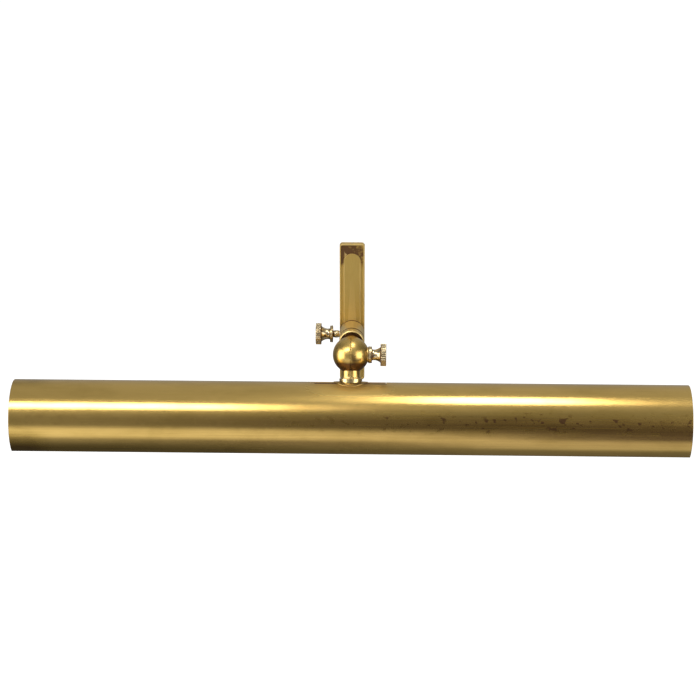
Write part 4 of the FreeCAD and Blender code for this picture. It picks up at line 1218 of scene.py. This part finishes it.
def sky():
    """Even white behind the object; for its light and reflections, a room that is darker towards
    the front right, paler on the floor and grey above and behind."""
    world = bpy.data.worlds.new("studio")
    world.use_nodes = True
    bpy.context.scene.world = world
    tree = Tree(world.node_tree)
    way = tree.add("TexCoord", {}).outputs["Generated"]
    side, back, up = tree.split(way)
    front = tree.math("MULTIPLY", back, -1.0)
    angle = tree.fit(tree.math("ARCTAN2", up, front), -math.pi, math.pi)
    left = tree.ramp(angle, [(level(degrees), colour) for degrees, colour in ROOM_LEFT])
    right = tree.ramp(angle, [(level(degrees), colour) for degrees, colour in ROOM_RIGHT])
    room = tree.mix(tree.rise(side, -0.14, 0.01), left, right)
    # A pale stretch of floor, which lies lower towards the right.
    drift = tree.fit(side, -0.01, 0.066, level(-22), level(-52), True)
    pale = tree.rise(tree.apart(angle, drift), 25 / 360, 9 / 360, 0.74)
    pale = tree.times(pale, tree.fit(side, -0.02, 0.012, 1.0, 1.35, True))
    pale = tree.times(pale, tree.fit(side, 0.025, 0.08, 1.0, 0.44, True))
    # A paler patch above the horizon, further to the right.
    end = tree.rise(side, 0.135, 0.172, 0.26)
    end = tree.times(end, tree.rise(tree.apart(angle, level(34)), 0.08, 0.02))
    room = tree.mix(1.0, room, tree.even(tree.plus(pale, end)), "ADD")
    # Darker to both sides.
    aside = tree.fit(tree.math("ABSOLUTE", side), 0.35, 0.85, 1.0, 0.35, True)
    room = tree.mix(1.0, room, tree.even(aside), "MULTIPLY")
    shown = tree.add("LightPath", {}).outputs["Is Camera Ray"]
    colour = tree.mix(shown, room, rgba(grey(1.0)))
    background = tree.add("Background", {"Color": colour, "Strength": 1.0})
    output = tree.add("OutputWorld", {})
    tree.links.new(background.outputs[0], output.inputs["Surface"])


WARM_WHITE = (1.0, 0.97, 0.92)


def panel_light(name, centre, target, size, glow, colour=WARM_WHITE, slope=0.0):
    """Rectangular soft light. size is (along X, across), glow the brightness of its face, and
    slope how far its long side climbs for each metre to the right."""
    data = bpy.data.lights.new(name, "AREA")
    data.shape = "RECTANGLE"
    data.size = size[0]
    data.size_y = size[1]
    data.energy = glow * math.pi * size[0] * size[1]
    data.color = colour
    obj = bpy.data.objects.new(name, data)
    bpy.context.scene.collection.objects.link(obj)
    ahead = (Vector(target) - Vector(centre)).normalized()
    across = Vector((1.0, 0.0, slope))
    across = (across - across.project(ahead)).normalized()
    up = ahead.cross(across)
    obj.matrix_world = Matrix.Translation(centre) @ Matrix((across, -up, -ahead)).transposed().to_4x4()


def band_light(name, heights_deg, distance, reach, glow, colour=WARM_WHITE, slope=0.0):
    """Soft light between two heights above the front horizon, as seen from the shade's axis, that
    reaches from one place along X to another."""
    axis = LAMP_AXIS * MM
    low, high = heights_deg
    middle = math.radians((low + high) / 2)
    width = 2 * distance * math.tan(math.radians((high - low) / 2))
    centre = axis + distance * Vector((0, -math.cos(middle), math.sin(middle)))
    centre.x = (reach[0] + reach[1]) / 2
    target = Vector((centre.x, axis.y, axis.z))
    panel_light(name, centre, target, (reach[1] - reach[0], width), glow, colour, slope)


def lights():
    """Two long bands that the shade reflects, each fading out in a second one, and two side lights."""
    band_light("left_band", (52.5, 69.5), 1.2, (-1.075, -0.185), 7.5, slope=0.085)
    band_light("left_band_fade", (54.0, 70.0), 1.25, (-0.195, -0.075), 0.7, (1.0, 0.86, 0.78))
    band_light("right_band", (79.5, 101.5), 1.2, (0.080, 0.30), 8.5)
    band_light("right_band_fade", (80.0, 92.0), 1.25, (0.33, 0.42), 1.2, (1.0, 0.88, 0.8))
    panel_light("left_side", (-1.25, -0.60, 0.25), BALL * MM, (1.0, 1.1), 3.6)
    panel_light("right_side", (1.15, -0.80, 0.28), BALL * MM, (0.95, 0.9), 3.2)


def camera():
    """A long lens from a little above, aimed just beside the ball."""
    elevation = math.radians(25.0)
    azimuth = math.radians(1.2)
    distance = 1.900
    aim_right = -0.0009
    aim_up = 0.0042
    data = bpy.data.cameras.new("camera")
    data.sensor_width = 36.0
    data.lens = 107.9
    data.clip_start = 0.05
    data.clip_end = 60.0
    obj = bpy.data.objects.new("camera", data)
    bpy.context.scene.collection.objects.link(obj)
    level = math.cos(elevation)
    back = Vector((math.sin(azimuth) * level, -math.cos(azimuth) * level, math.sin(elevation)))
    right = Vector((math.cos(azimuth), math.sin(azimuth), 0.0))
    up = back.cross(right)
    aim = BALL * MM + aim_right * right + aim_up * up
    rotation = Matrix((right, up, back)).transposed().to_4x4()
    obj.matrix_world = Matrix.Translation(aim + distance * back) @ rotation
    bpy.context.scene.camera = obj


make_materials()
finish_cad_nodes()
backplate()
boss()
bush()
thumb_knobs()
ball_half(-1)
ball_half(1)
neck_collar()
saddle_washer()
shade()
crown_plate()
lamps()
floor()
sky()
lights()
camera()
bpy.context.scene.view_settings.view_transform = "Standard"
